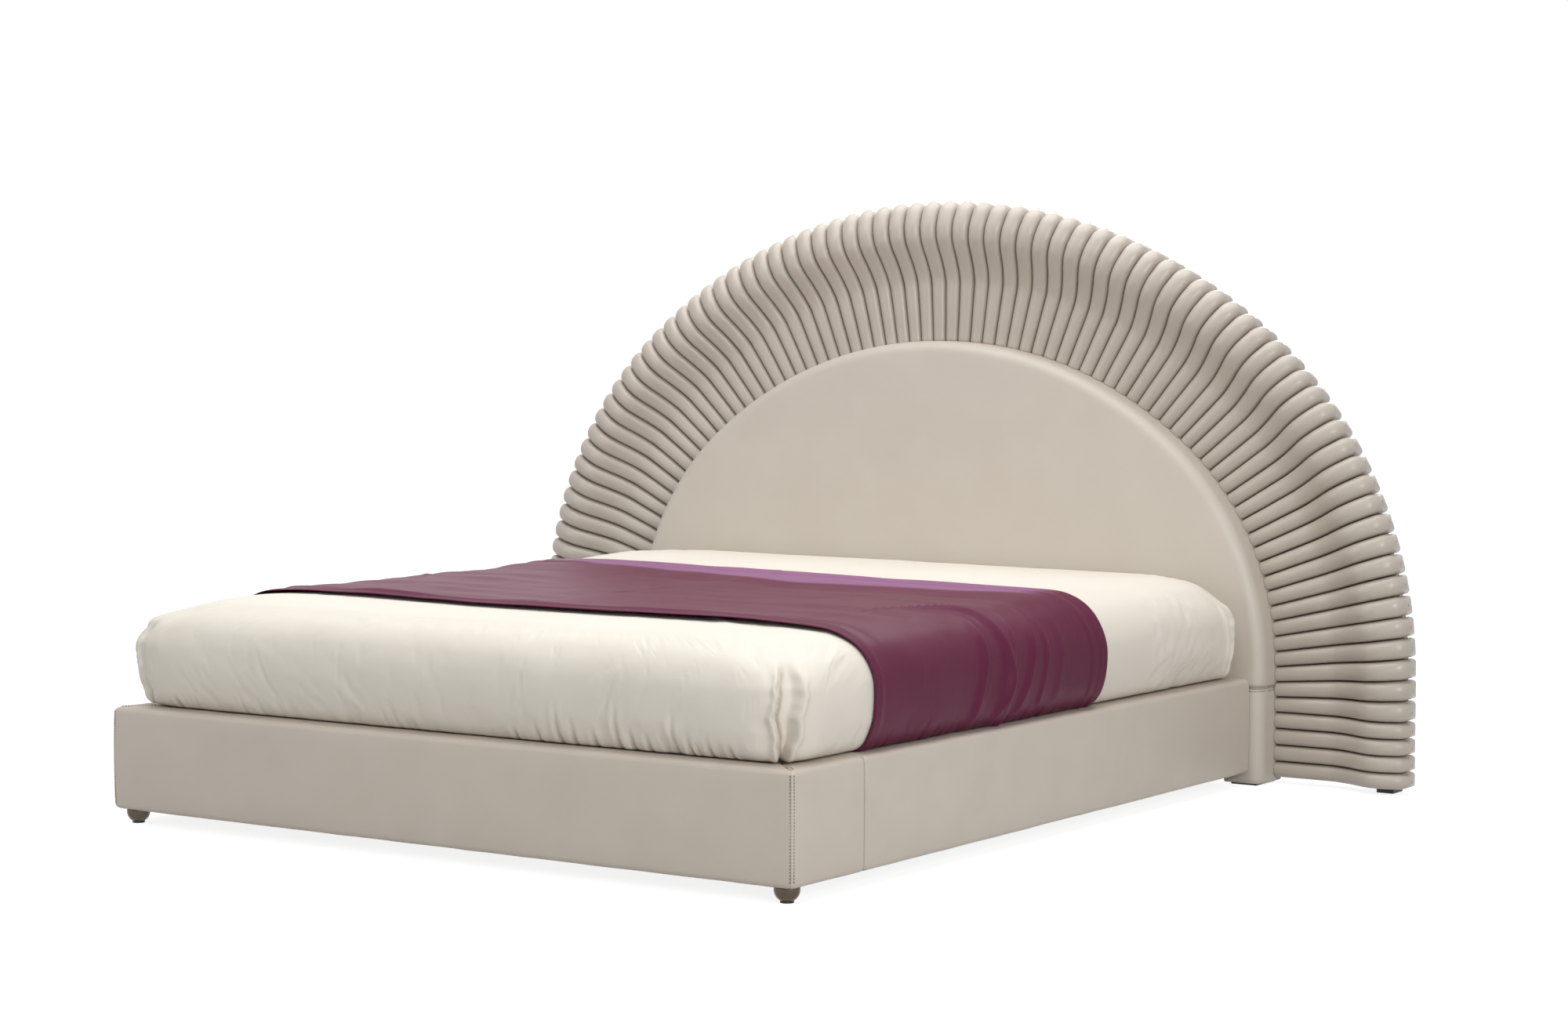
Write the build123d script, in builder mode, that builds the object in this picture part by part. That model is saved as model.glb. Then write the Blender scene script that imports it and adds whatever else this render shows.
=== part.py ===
"""Upholstered double bed with a fan-shaped headboard of channelled rolls.

The frame stands on the floor at z = 0.  X runs across the bed, Y from the foot to the head, and the
origin is the middle of the bed's footprint.  All lengths are in millimetres.
"""
from build123d import *
from math import atan2, cos, radians, sin, sqrt, tan
import os

os.makedirs("parts", exist_ok=True)

# Bed base
bed_width = 1960.0
base_length = 2120.0
base_bottom = 34.0
base_height = 246.0
rail_thickness = 80.0
rail_padding = 20.0
return_length = 276.0
cover_edge_radius = 12.0
butt_gap = 0.6
cover_gap = 0.3

# Slat support
ledge_size = 40.0
ledge_wall = 4.0
ledge_rise = 156.0
beam_width = 60.0
beam_depth = 40.0
beam_wall = 3.0
hanger_wall = 4.0
centre_leg_diameter = 40.0
centre_leg_foot_height = 10.0
centre_leg_foot_diameter = 56.0
slat_frame_height = 40.0
slat_bar_width = 30.0
slat_frame_gap = 15.0
slats_per_row = 14
slat_width = 53.0
slat_thickness = 8.0
slat_bow = 9.0
holder_length = 36.0
holder_wall = 4.0
holder_gap = 0.3

# Headboard
panel_overhang = 30.0
shoulder_share = 0.7475
crown_half_angle = 40.1
springing_rise = 53.0
panel_edge_radius = 45.0
panel_core_inset = 22.0
panel_core_thickness = 40.0
roll_length = 388.0
roll_depth = 50.0
roll_hump = 60.0
roll_crown = 7.0
roll_plane = 75.0
channel_gap = 2.0
fan_centre_height = 187.0
fan_rolls_per_side = 40
leg_rolls = 4
roll_clearance = 15.0
board_thickness = 18.0
board_inset = 14.0
back_cover_thickness = 2.0
seam_height = 253.0
leg_gap = 6.0
leg_pad_bottom = 6.0
leg_post_inset = 16.0
head_rail_thickness = 40.0
head_rail_setback = 10.0

# Feet
ball_diameter = 53.0
ball_inset = 40.0
ball_glide_height = 5.0
ball_glide_diameter = 29.4
stud_diameter = 10.0
stud_length = 36.0
outer_foot_width = 45.0
outer_foot_inset = 52.0

# Joining hardware
plate_thickness = 4.0
plate_reach = 70.0
bolt_diameter = 8.0
bolt_head_diameter = 16.0
bolt_head_height = 5.0
bolt_clearance = 0.3

# Mattress and bedding
mattress_side_gap = 10.0
mattress_foot_gap = 13.3
mattress_head_gap = 26.7
mattress_height = 250.0
mattress_corner_radius = 60.0
seat_gap = 0.3
bedding_gap = 0.3
tuck_thickness = 6.0
tuck_depth = 18.0
bedding_bulge = 79.0
bedding_cover = 61.4
bedding_head_bulge = 16.0
throw_thickness = 3.0
throw_width = 1060.0
throw_from_foot = 310.0
throw_rim_gap = 4.0

overrun = 5.0

# Places that follow from the sizes above
headboard_depth = roll_plane + roll_depth + board_thickness + back_cover_thickness
total_length = base_length + headboard_depth
foot_face = -total_length / 2
panel_face = foot_face + base_length
board_face = panel_face + roll_plane + roll_depth
board_back = board_face + board_thickness
half_width = bed_width / 2
rail_inner = half_width - rail_thickness
panel_half_width = half_width + panel_overhang
ledge_top = base_bottom + ledge_rise
base_top = base_bottom + base_height
board_height = base_height - 2 * rail_padding
board_bottom = base_bottom + rail_padding
rail_board_thickness = rail_thickness - 2 * rail_padding
ledge_bottom = ledge_top - ledge_size

made = []


def keep(part, label):
    """Labels a finished piece and writes it as a STEP file of the same name."""
    part.label = label
    export_step(part, "parts/" + label + ".step")
    made.append((label, part))


def wall_plane(y):
    """Upright plane across the bed at y, on which a sketch extrudes towards the foot."""
    return Plane.XZ.offset(-y)


def block(x0, x1, y0, y1, z0, z1, mode=Mode.ADD):
    """Box between two corners, for use inside a part."""
    with Locations(((x0 + x1) / 2, (y0 + y1) / 2, (z0 + z1) / 2)):
        Box(abs(x1 - x0), abs(y1 - y0), abs(z1 - z0), mode=mode)


def rod(x, y, z, axis, diameter, length, mode=Mode.ADD):
    """Round bar from a point along X, Y or Z, for use inside a part."""
    turn = {"X": (0, 90, 0), "Y": (-90, 0, 0), "Z": (0, 0, 0)}[axis]
    with Locations(Location((x, y, z), turn)):
        Cylinder(diameter / 2, length, align=(Align.CENTER, Align.CENTER, Align.MIN), mode=mode)


# The arch is three-centred: a crown arc over two shoulder arcs, standing on straight legs.
crown_angle = radians(crown_half_angle)
shoulder_radius = shoulder_share * panel_half_width
shoulder_x = panel_half_width - shoulder_radius
shoulder_z = seam_height + springing_rise
crown_radius = shoulder_radius + shoulder_x / sin(crown_angle)
crown_centre = shoulder_z - shoulder_x / tan(crown_angle)


def crown_point(angle, offset):
    """Point of the crown arc, offset outward, at an angle from the vertical."""
    radius = crown_radius + offset
    return (radius * sin(angle), crown_centre + radius * cos(angle))


def shoulder_point(angle, offset, side=1):
    """Point of a shoulder arc, offset outward, at an angle above the level."""
    radius = shoulder_radius + offset
    return (side * (shoulder_x + radius * cos(angle)), shoulder_z + radius * sin(angle))


def arch_outline(offset, bottom):
    """Filled outline of the arch, offset outward, standing on a level line."""
    joint = radians(90) - crown_angle
    reach = panel_half_width + offset
    right = shoulder_point(joint, offset)
    left = shoulder_point(joint, offset, -1)
    with BuildSketch(mode=Mode.PRIVATE) as outline:
        with BuildLine():
            Line((-reach, bottom), (reach, bottom))
            Line((reach, bottom), (reach, shoulder_z))
            ThreePointArc((reach, shoulder_z), shoulder_point(joint / 2, offset), right)
            ThreePointArc(right, crown_point(0, offset), left)
            ThreePointArc(left, shoulder_point(joint / 2, offset, -1), (-reach, shoulder_z))
            Line((-reach, shoulder_z), (-reach, bottom))
        make_face()
    return outline.sketch


def outline_at(length, offset):
    """Point of the offset arch at an arc length up from the fan's centre line, on the right."""
    straight = shoulder_z - fan_centre_height
    if length <= straight:
        return (panel_half_width + offset, fan_centre_height + length)
    shoulder_span = (radians(90) - crown_angle) * (shoulder_radius + offset)
    if length <= straight + shoulder_span:
        return shoulder_point((length - straight) / (shoulder_radius + offset), offset)
    along = (length - straight - shoulder_span) / (crown_radius + offset)
    return crown_point(crown_angle - along, offset)


def arch_length(offset):
    """Length of the offset arch from the fan's centre line to the top."""
    straight = shoulder_z - fan_centre_height
    shoulder_span = (radians(90) - crown_angle) * (shoulder_radius + offset)
    return straight + shoulder_span + crown_angle * (crown_radius + offset)


def ray_to_circle(slope_x, slope_z, centre_x, centre_z, radius):
    """Distance along a ray from the fan's centre to a circle."""
    away_z = fan_centre_height - centre_z
    along = -centre_x * slope_x + away_z * slope_z
    rest = centre_x ** 2 + away_z ** 2 - radius ** 2
    return -along + sqrt(along ** 2 - rest)


def inner_point(angle):
    """Where a ray from the fan's centre meets the panel's outline."""
    slope_x = cos(angle)
    slope_z = sin(angle)
    reach = ray_to_circle(slope_x, slope_z, 0, crown_centre, crown_radius)
    point = (reach * slope_x, fan_centre_height + reach * slope_z)
    if atan2(point[0], point[1] - crown_centre) <= crown_angle:
        return point
    reach = ray_to_circle(slope_x, slope_z, shoulder_x, shoulder_z, shoulder_radius)
    point = (reach * slope_x, fan_centre_height + reach * slope_z)
    if point[1] >= shoulder_z:
        return point
    return (panel_half_width, fan_centre_height + panel_half_width * slope_z / slope_x)


# Shape of a roll along its length: how far it has got, how far its crown stands forward of the
# plane of the rolls (in humps), how far its end has dropped (in depths) and how wide it is.
station_shares = (0.0, 0.04, 0.42, 0.6, 0.76, 0.95, 1.0)
hump_shares = (0.0, 0.0, 0.02, 0.46, 1.0, 0.22, 0.0)
drop_shares = (0.55, 0.08, 0.0, 0.0, 0.0, 0.12, 0.62)
width_shares = (0.6, 0.96, 1.0, 1.0, 1.0, 0.95, 0.62)


def roll_between(low_inner, low_outer, high_inner, high_outer):
    """One padded roll between two channels, each given by its inner and outer end (x, z)."""
    with BuildPart(mode=Mode.PRIVATE) as roll:
        for share, hump, drop, width_share in zip(station_shares, hump_shares, drop_shares, width_shares):
            low = [a + (b - a) * share for a, b in zip(low_inner, low_outer)]
            high = [a + (b - a) * share for a, b in zip(high_inner, high_outer)]
            across = Vector(high[0] - low[0], 0, high[1] - low[1])
            width = (across.length - channel_gap) * width_share
            height = (roll_depth + hump * roll_hump) - drop * roll_depth
            shoulder = height - roll_crown
            haunch = height - roll_crown / 8
            middle = Vector((low[0] + high[0]) / 2, board_face, (low[1] + high[1]) / 2)
            forward = Vector(0, -1, 0)
            plane = Plane(origin=middle, x_dir=across, z_dir=across.cross(forward))
            with BuildSketch(plane):
                with BuildLine():
                    Line((-width / 2, 0), (width / 2, 0))
                    Line((width / 2, 0), (width / 2, shoulder))
                    Polyline((width / 2, shoulder), (width / 4, haunch), (-width / 4, haunch), (-width / 2, shoulder))
                    Line((-width / 2, shoulder), (-width / 2, 0))
                make_face()
        loft(ruled=True)
    return roll.part


def mirrored(point, side):
    """Point on the right of the bed, or its mirror image on the left."""
    return (side * point[0], point[1])


def channel_ends(index):
    """Inner and outer end of the channel at a count of rolls up from the leg, on the right."""
    step = arch_length(roll_length) / fan_rolls_per_side
    outer = outline_at(index * step, roll_length)
    angle = atan2(outer[1] - fan_centre_height, outer[0])
    return inner_point(angle), outer


def fan_roll(index, side):
    """Roll of the fan by its count up from the leg, on one side of the bed."""
    low_inner, low_outer = channel_ends(index)
    high_inner, high_outer = channel_ends(index + 1)
    ends = [mirrored(point, side) for point in (low_inner, low_outer, high_inner, high_outer)]
    return roll_between(*ends)


def leg_roll(index, side):
    """Level roll of a leg by its count up from the floor, on one side of the bed."""
    pitch = (fan_centre_height - roll_clearance) / leg_rolls
    low = roll_clearance + index * pitch
    high = low + pitch
    outer = panel_half_width + roll_length
    ends = ((panel_half_width, low), (outer, low), (panel_half_width, high), (outer, high))
    return roll_between(*[mirrored(point, side) for point in ends])


def group(solids, label):
    """Separate solids kept together under one name."""
    keep(Compound(children=list(solids)), label)


# Padded rolls of the headboard, ten to a group
rolls_per_group = 10
for side_name, side in (("right", 1), ("left", -1)):
    group([leg_roll(index, side) for index in range(leg_rolls)], side_name + "_leg_rolls")
    for start in range(0, fan_rolls_per_side, rolls_per_group):
        stretch = ("side", "shoulder", "haunch", "crown")[start // rolls_per_group]
        rolls = [fan_roll(index, side) for index in range(start, min(start + rolls_per_group, fan_rolls_per_side))]
        group(rolls, side_name + "_" + stretch + "_rolls")

# Headboard boards, back covers and the padded panel inside the arch
board_reach = roll_length - board_inset
with BuildPart() as headboard_board:
    with BuildSketch(wall_plane(board_back)):
        add(arch_outline(board_reach, seam_height))
    extrude(amount=board_thickness)
keep(headboard_board.part, "headboard_board")

with BuildPart() as back_cover:
    with BuildSketch(wall_plane(board_back + back_cover_thickness)):
        add(arch_outline(board_reach, seam_height))
    extrude(amount=back_cover_thickness)
keep(back_cover.part, "back_cover")

with BuildPart() as panel_core:
    with BuildSketch(wall_plane(board_face)):
        add(arch_outline(-panel_core_inset, seam_height + panel_core_inset))
    extrude(amount=panel_core_thickness)
keep(panel_core.part, "panel_core")

panel_depth = board_face - panel_face
with BuildPart() as panel_pad:
    with BuildSketch(wall_plane(board_face)):
        add(arch_outline(-channel_gap / 2, seam_height + cover_gap))
    extrude(amount=panel_depth)
    front = panel_pad.faces().sort_by(Axis.Y)[0]
    rim = front.edges().sort_by(Axis.Z)[1:]
    fillet(rim, panel_edge_radius)
    with BuildSketch(wall_plane(board_face)):
        add(arch_outline(-panel_core_inset, seam_height + panel_core_inset))
    extrude(amount=panel_core_thickness, mode=Mode.SUBTRACT)
keep(panel_pad.part, "panel_pad")

# Legs of the headboard: padded covers over posts, boards behind the level rolls, and feet
leg_inner = rail_inner + leg_gap
leg_board_outer = panel_half_width + board_reach
post_inner = leg_inner + leg_post_inset
post_outer = panel_half_width - leg_post_inset
post_face = panel_face + panel_edge_radius
leg_pad_top = seam_height - cover_gap
glide_front = panel_face + leg_post_inset
sides = (("left", -1), ("right", 1))
for side_name, side in sides:
    with BuildPart() as leg_pad:
        block(side * leg_inner, side * (panel_half_width - channel_gap / 2), panel_face, board_face,
              leg_pad_bottom, leg_pad_top)
        upright = leg_pad.edges().filter_by(Axis.Z)
        fillet(upright.sort_by(lambda edge: side * edge.center().X - edge.center().Y)[-1], panel_edge_radius)
        block(side * post_inner, side * post_outer, post_face, board_face, leg_pad_bottom, leg_pad_top,
              mode=Mode.SUBTRACT)
    keep(leg_pad.part, side_name + "_leg_pad")

    with BuildPart() as leg_post:
        block(side * post_inner, side * post_outer, post_face, board_face, leg_pad_bottom, leg_pad_top)
    keep(leg_post.part, side_name + "_leg_post")

    with BuildPart() as leg_board:
        block(side * leg_inner, side * leg_board_outer, board_face, board_back, roll_clearance, seam_height)
    keep(leg_board.part, side_name + "_leg_board")

with BuildPart() as leg_back_covers:
    for side_name, side in sides:
        block(side * leg_inner, side * leg_board_outer, board_back, board_back + back_cover_thickness,
              roll_clearance, seam_height)
keep(leg_back_covers.part, "leg_back_covers")

with BuildPart() as leg_glides:
    for side_name, side in sides:
        block(side * post_inner, side * post_outer, glide_front, board_face, 0, leg_pad_bottom)
keep(leg_glides.part, "leg_glides")

outer_foot_x = panel_half_width + roll_length - outer_foot_inset - outer_foot_width / 2
with BuildPart() as outer_feet:
    for side_name, side in sides:
        block(side * (outer_foot_x - outer_foot_width / 2), side * (outer_foot_x + outer_foot_width / 2),
              board_face - roll_depth + roll_crown, board_back, 0, roll_clearance)
keep(outer_feet.part, "outer_feet")

head_rail_face = panel_face + head_rail_setback
with BuildPart() as head_rail:
    block(-leg_inner, leg_inner, head_rail_face, head_rail_face + head_rail_thickness, base_bottom,
          seam_height - cover_gap)
keep(head_rail.part, "head_rail")


# Footboard: three boards under covers that are sewn together at mitred corners
board_front = foot_face + rail_padding
board_outer = half_width - rail_padding
board_inner = board_outer - rail_board_thickness
return_end = foot_face + return_length


with BuildPart() as footboard_board:
    block(-board_outer, board_outer, board_front, board_front + rail_board_thickness,
          board_bottom, board_bottom + board_height)
    for x in (-half_width + ball_inset, half_width - ball_inset):
        rod(x, foot_face + ball_inset, board_bottom - overrun, "Z", stud_diameter,
            stud_length, mode=Mode.SUBTRACT)
keep(footboard_board.part, "footboard_board")

stud_base = base_bottom - stud_length / 3
with BuildPart() as footboard_cover:
    with BuildSketch(Plane.XY.offset(base_bottom)):
        with BuildLine():
            Polyline((-half_width, foot_face), (half_width, foot_face),
                     (rail_inner, foot_face + rail_thickness), (-rail_inner, foot_face + rail_thickness),
                     close=True)
        make_face()
    extrude(amount=base_height)
    long_edges = footboard_cover.faces().sort_by(Axis.Y)[0].edges().filter_by(Axis.X)
    fillet(long_edges, cover_edge_radius)
    block(-board_outer, board_outer, board_front, board_front + rail_board_thickness,
          board_bottom, board_bottom + board_height, mode=Mode.SUBTRACT)
    for x in (-half_width + ball_inset, half_width - ball_inset):
        rod(x, foot_face + ball_inset, base_bottom - overrun, "Z", stud_diameter,
            rail_padding + 2 * overrun, mode=Mode.SUBTRACT)
keep(footboard_cover.part, "footboard_cover")

for side_name, side in sides:
    with BuildPart() as return_board:
        block(side * board_inner, side * board_outer, board_front + rail_board_thickness,
              return_end - rail_padding, board_bottom, board_bottom + board_height)
    keep(return_board.part, side_name + "_return_board")

    with BuildPart() as return_cover:
        with BuildSketch(Plane.XY.offset(base_bottom)):
            with BuildLine():
                Polyline((side * half_width, foot_face), (side * half_width, return_end),
                         (side * rail_inner, return_end), (side * rail_inner, foot_face + rail_thickness),
                         close=True)
            make_face()
        extrude(amount=base_height)
        outer_face = return_cover.faces().filter_by(Axis.X).sort_by(lambda face: side * face.center().X)[-1]
        seam_edge = outer_face.edges().filter_by(Axis.Z).sort_by(Axis.Y)[0]
        fillet([edge for edge in outer_face.edges() if edge != seam_edge], cover_edge_radius)
        block(side * board_inner, side * board_outer, board_front, return_end - rail_padding,
              board_bottom, board_bottom + board_height, mode=Mode.SUBTRACT)
        rod(side * (half_width - ball_inset), foot_face + ball_inset, base_bottom - overrun, "Z",
            stud_diameter, rail_padding + 2 * overrun, mode=Mode.SUBTRACT)
    keep(return_cover.part, side_name + "_return_cover")

    rail_start = return_end + butt_gap
    rail_end = panel_face - butt_gap
    with BuildPart() as rail_board:
        block(side * board_inner, side * board_outer, rail_start + rail_padding, rail_end - rail_padding,
              board_bottom, board_bottom + board_height)
    keep(rail_board.part, side_name + "_rail_board")

    with BuildPart() as rail_cover:
        block(side * rail_inner, side * half_width, rail_start, rail_end, base_bottom, base_top)
        outer_face = rail_cover.faces().filter_by(Axis.X).sort_by(lambda face: side * face.center().X)[-1]
        fillet(outer_face.edges(), cover_edge_radius)
        block(side * board_inner, side * board_outer, rail_start + rail_padding, rail_end - rail_padding,
              board_bottom, board_bottom + board_height, mode=Mode.SUBTRACT)
    keep(rail_cover.part, side_name + "_rail_cover")


# Ball feet at the foot corners, with their studs and glides
ball_radius = ball_diameter / 2
for side_name, side in sides:
    with BuildPart() as ball_foot:
        with Locations((side * (half_width - ball_inset), foot_face + ball_inset, ball_radius)):
            Sphere(ball_radius)
        split(bisect_by=Plane.XY.offset(base_bottom), keep=Keep.BOTTOM)
        split(bisect_by=Plane.XY.offset(ball_glide_height), keep=Keep.TOP)
    keep(ball_foot.part, side_name + "_ball_foot")

with BuildPart() as foot_studs:
    for side_name, side in sides:
        rod(side * (half_width - ball_inset), foot_face + ball_inset, base_bottom, "Z",
            stud_diameter - bolt_clearance, rail_padding + stud_length / 2)
keep(foot_studs.part, "foot_studs")

with BuildPart() as ball_glides:
    for side_name, side in sides:
        rod(side * (half_width - ball_inset), foot_face + ball_inset, 0, "Z", ball_glide_diameter,
            ball_glide_height)
keep(ball_glides.part, "ball_glides")


# Steel angles that carry the slatted base, the middle beam and its legs
ledge_end_room = ledge_size + cover_gap
for side_name, side in sides:
    with BuildPart() as ledge:
        block(side * (rail_inner - ledge_wall), side * rail_inner, foot_face + rail_thickness,
              panel_face, ledge_bottom, ledge_top)
        block(side * (rail_inner - ledge_size), side * rail_inner, foot_face + rail_thickness,
              panel_face, ledge_top - ledge_wall, ledge_top)
    keep(ledge.part, side_name + "_ledge")

cross_ledge_reach = rail_inner - ledge_end_room
with BuildPart() as foot_ledge:
    block(-cross_ledge_reach, cross_ledge_reach, foot_face + rail_thickness,
          foot_face + rail_thickness + ledge_wall, ledge_bottom, ledge_top)
    block(-cross_ledge_reach, cross_ledge_reach, foot_face + rail_thickness,
          foot_face + rail_thickness + ledge_size, ledge_top - ledge_wall, ledge_top)
keep(foot_ledge.part, "foot_ledge")

head_ledge_front = panel_face - ledge_size
with BuildPart() as head_ledge:
    block(-cross_ledge_reach, cross_ledge_reach, head_rail_face - ledge_wall, head_rail_face,
          ledge_bottom, ledge_top)
    block(-cross_ledge_reach, cross_ledge_reach, head_ledge_front, head_rail_face,
          ledge_top - ledge_wall, ledge_top)
keep(head_ledge.part, "head_ledge")

beam_top = ledge_top - ledge_wall
beam_start = foot_face + rail_thickness + ledge_wall + hanger_wall
beam_end = head_rail_face - ledge_wall - hanger_wall
with BuildPart() as centre_beam:
    block(-beam_width / 2, beam_width / 2, beam_start, beam_end, beam_top - beam_depth, beam_top)
    block(beam_wall - beam_width / 2, beam_width / 2 - beam_wall, beam_start - overrun, beam_end + overrun,
          beam_top - beam_depth + beam_wall, beam_top - beam_wall, mode=Mode.SUBTRACT)
keep(centre_beam.part, "centre_beam")

hanger_bottom = beam_top - beam_depth - hanger_wall
with BuildPart() as beam_hangers:
    for face, inward in ((foot_face + rail_thickness + ledge_wall, 1), (head_rail_face - ledge_wall, -1)):
        near = face
        far = face + inward * hanger_wall
        lip = far + inward * beam_width / 2
        block(-beam_width / 2 - hanger_wall, beam_width / 2 + hanger_wall, min(near, far), max(near, far),
              hanger_bottom, beam_top - ledge_wall)
        block(-beam_width / 2 - hanger_wall, beam_width / 2 + hanger_wall, min(far, lip), max(far, lip),
              hanger_bottom, hanger_bottom + hanger_wall)
keep(beam_hangers.part, "beam_hangers")

centre_leg_places = [beam_start + (beam_end - beam_start) * share for share in (1 / 3, 2 / 3)]
with BuildPart() as centre_legs:
    for y in centre_leg_places:
        rod(0, y, centre_leg_foot_height, "Z", centre_leg_diameter,
            beam_top - beam_depth - centre_leg_foot_height)
keep(centre_legs.part, "centre_legs")

with BuildPart() as centre_leg_feet:
    for y in centre_leg_places:
        rod(0, y, 0, "Z", centre_leg_foot_diameter, centre_leg_foot_height)
keep(centre_leg_feet.part, "centre_leg_feet")


# Plates and bolts that join the returns to the rails and the rails to the head rail
plate_bottom = base_bottom + rail_padding / 2
plate_top = ledge_bottom - cover_gap
plate_middle = (plate_bottom + plate_top) / 2
bolt_rows = (plate_middle - (plate_top - plate_bottom) / 4, plate_middle + (plate_top - plate_bottom) / 4)
bolt_columns = (return_end - plate_reach / 2, return_end + plate_reach / 2)
joint_bolts = tuple(zip(bolt_columns, bolt_rows))
bracket_face = head_rail_face
with BuildPart() as joint_plates:
    for side_name, side in sides:
        block(side * (rail_inner - plate_thickness), side * rail_inner, return_end - plate_reach,
              return_end + plate_reach, plate_bottom, plate_top)
        for y, z in joint_bolts:
            rod(side * rail_inner - plate_thickness - overrun, y, z, "X",
                bolt_diameter + 2 * bolt_clearance, 2 * (plate_thickness + overrun), mode=Mode.SUBTRACT)
keep(joint_plates.part, "joint_plates")

with BuildPart() as head_brackets:
    for side_name, side in sides:
        block(side * (rail_inner - plate_thickness), side * rail_inner, panel_face - plate_reach,
              bracket_face, plate_bottom, plate_top)
        block(side * (rail_inner - plate_reach), side * rail_inner, bracket_face - plate_thickness,
              bracket_face, plate_bottom, plate_top)
        for z in bolt_rows:
            rod(side * rail_inner - plate_thickness - overrun, panel_face - plate_reach / 2, z, "X",
                bolt_diameter + 2 * bolt_clearance, 2 * (plate_thickness + overrun), mode=Mode.SUBTRACT)
keep(head_brackets.part, "head_brackets")


def bolt_solid(side, y, z):
    """Hexagon head and shank of one bolt through a plate on the inside of the bed."""
    outward = Plane(origin=(side * (rail_inner - plate_thickness), y, z), z_dir=(side, 0, 0))
    with BuildPart(outward, mode=Mode.PRIVATE) as bolt:
        Cylinder(bolt_diameter / 2, plate_thickness, align=(Align.CENTER, Align.CENTER, Align.MIN))
        with BuildSketch(outward):
            RegularPolygon(bolt_head_diameter / 2, 6)
        extrude(amount=-bolt_head_height)
    return bolt.part


bolts = [bolt_solid(side, y, z) for side_name, side in sides for y, z in joint_bolts]
bolts += [bolt_solid(side, panel_face - plate_reach / 2, z) for side_name, side in sides for z in bolt_rows]
group(bolts, "frame_bolts")


# Slatted base: a frame of bars, two rows of bowed slats, and the holders on their ends
slat_bottom = ledge_top + seat_gap
slat_top = slat_bottom + slat_frame_height
frame_x = rail_inner - slat_frame_gap
frame_start = foot_face + rail_thickness + slat_frame_gap
frame_end = panel_face - slat_frame_gap
with BuildPart() as slat_side_bars:
    for x in (-frame_x + slat_bar_width / 2, 0, frame_x - slat_bar_width / 2):
        block(x - slat_bar_width / 2, x + slat_bar_width / 2, frame_start + slat_bar_width,
              frame_end - slat_bar_width, slat_bottom, slat_top)
keep(slat_side_bars.part, "slat_side_bars")

with BuildPart() as slat_end_bars:
    for start in (frame_start, frame_end - slat_bar_width):
        block(-frame_x, frame_x, start, start + slat_bar_width, slat_bottom, slat_top)
keep(slat_end_bars.part, "slat_end_bars")

row_start = slat_bar_width / 2
row_end = frame_x - slat_bar_width
holder_room = 4 * slat_bow * holder_length / (row_end - row_start)
holder_height = slat_thickness + holder_room + 2 * (holder_wall + holder_gap)
holder_bottom = slat_top - slat_bow - holder_height
slat_low = holder_bottom + holder_wall + holder_gap
slat_pitch = (frame_end - frame_start - 2 * slat_bar_width) / slats_per_row
slat_places = [frame_start + slat_bar_width + (row + 0.5) * slat_pitch for row in range(slats_per_row)]
slat_from = row_start + holder_wall + holder_gap
slat_to = row_end - holder_wall - holder_gap
slat_middle = (slat_from + slat_to) / 2


def slat_arc(side, rise):
    """Bowed line of a slat at a height above its ends."""
    base = slat_low + rise
    ThreePointArc((side * slat_from, base), (side * slat_middle, base + slat_bow), (side * slat_to, base))


for side_name, side in sides:
    slats = []
    holders = []
    for y in slat_places:
        with BuildPart(mode=Mode.PRIVATE) as slat:
            with BuildSketch(wall_plane(y + slat_width / 2)):
                with BuildLine():
                    slat_arc(side, 0)
                    slat_arc(side, slat_thickness)
                    for x in (slat_from, slat_to):
                        Line((side * x, slat_low), (side * x, slat_low + slat_thickness))
                make_face()
            extrude(amount=slat_width)
        slats.append(slat.part)
        for inner, outer, mouth in ((row_start, row_start + holder_length, 1),
                                    (row_end - holder_length, row_end, -1)):
            half = slat_width / 2 + holder_wall + holder_gap
            pocket = slat_width / 2 + holder_gap
            inner_wall = inner + holder_wall if mouth > 0 else inner - overrun
            outer_wall = outer + overrun if mouth > 0 else outer - holder_wall
            with BuildPart(mode=Mode.PRIVATE) as holder:
                block(side * inner, side * outer, y - half, y + half, holder_bottom,
                      holder_bottom + holder_height)
                block(side * inner_wall, side * outer_wall, y - pocket, y + pocket,
                      holder_bottom + holder_wall, holder_bottom + holder_height - holder_wall,
                      mode=Mode.SUBTRACT)
            holders.append(holder.part)
    group(slats, side_name + "_slats")
    group(holders, side_name + "_slat_holders")


# Mattress, the bedding tucked round it, and the throw laid across
mattress_bottom = slat_top + seat_gap
mattress_top = mattress_bottom + mattress_height
mattress_width = 2 * (rail_inner - mattress_side_gap)
mattress_start = foot_face + rail_thickness + mattress_foot_gap
mattress_end = panel_face - mattress_head_gap
mattress_length = mattress_end - mattress_start
bedding_rise = mattress_top + bedding_cover - base_top
mattress_middle = (mattress_start + mattress_end) / 2
with BuildPart() as mattress:
    with BuildSketch(Plane.XY.offset(mattress_bottom)):
        with Locations((0, mattress_middle)):
            RectangleRounded(mattress_width, mattress_length, mattress_corner_radius)
    extrude(amount=mattress_height)
keep(mattress.part, "mattress")

# Height of each level of the bedding as a share of its rise above the base, and how much of the
# bulge stands out there.
level_shares = (0.0, 0.09, 0.26, 0.46, 0.66, 0.83, 0.94, 0.985, 1.0)
bulge_shares = (0.02, 0.26, 0.82, 1.0, 0.97, 0.66, 0.12, -0.55, -1.35)
corner_shares = (1.0, 1.1, 1.5, 1.7, 1.7, 1.6, 1.5, 1.4, 1.3)


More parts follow.
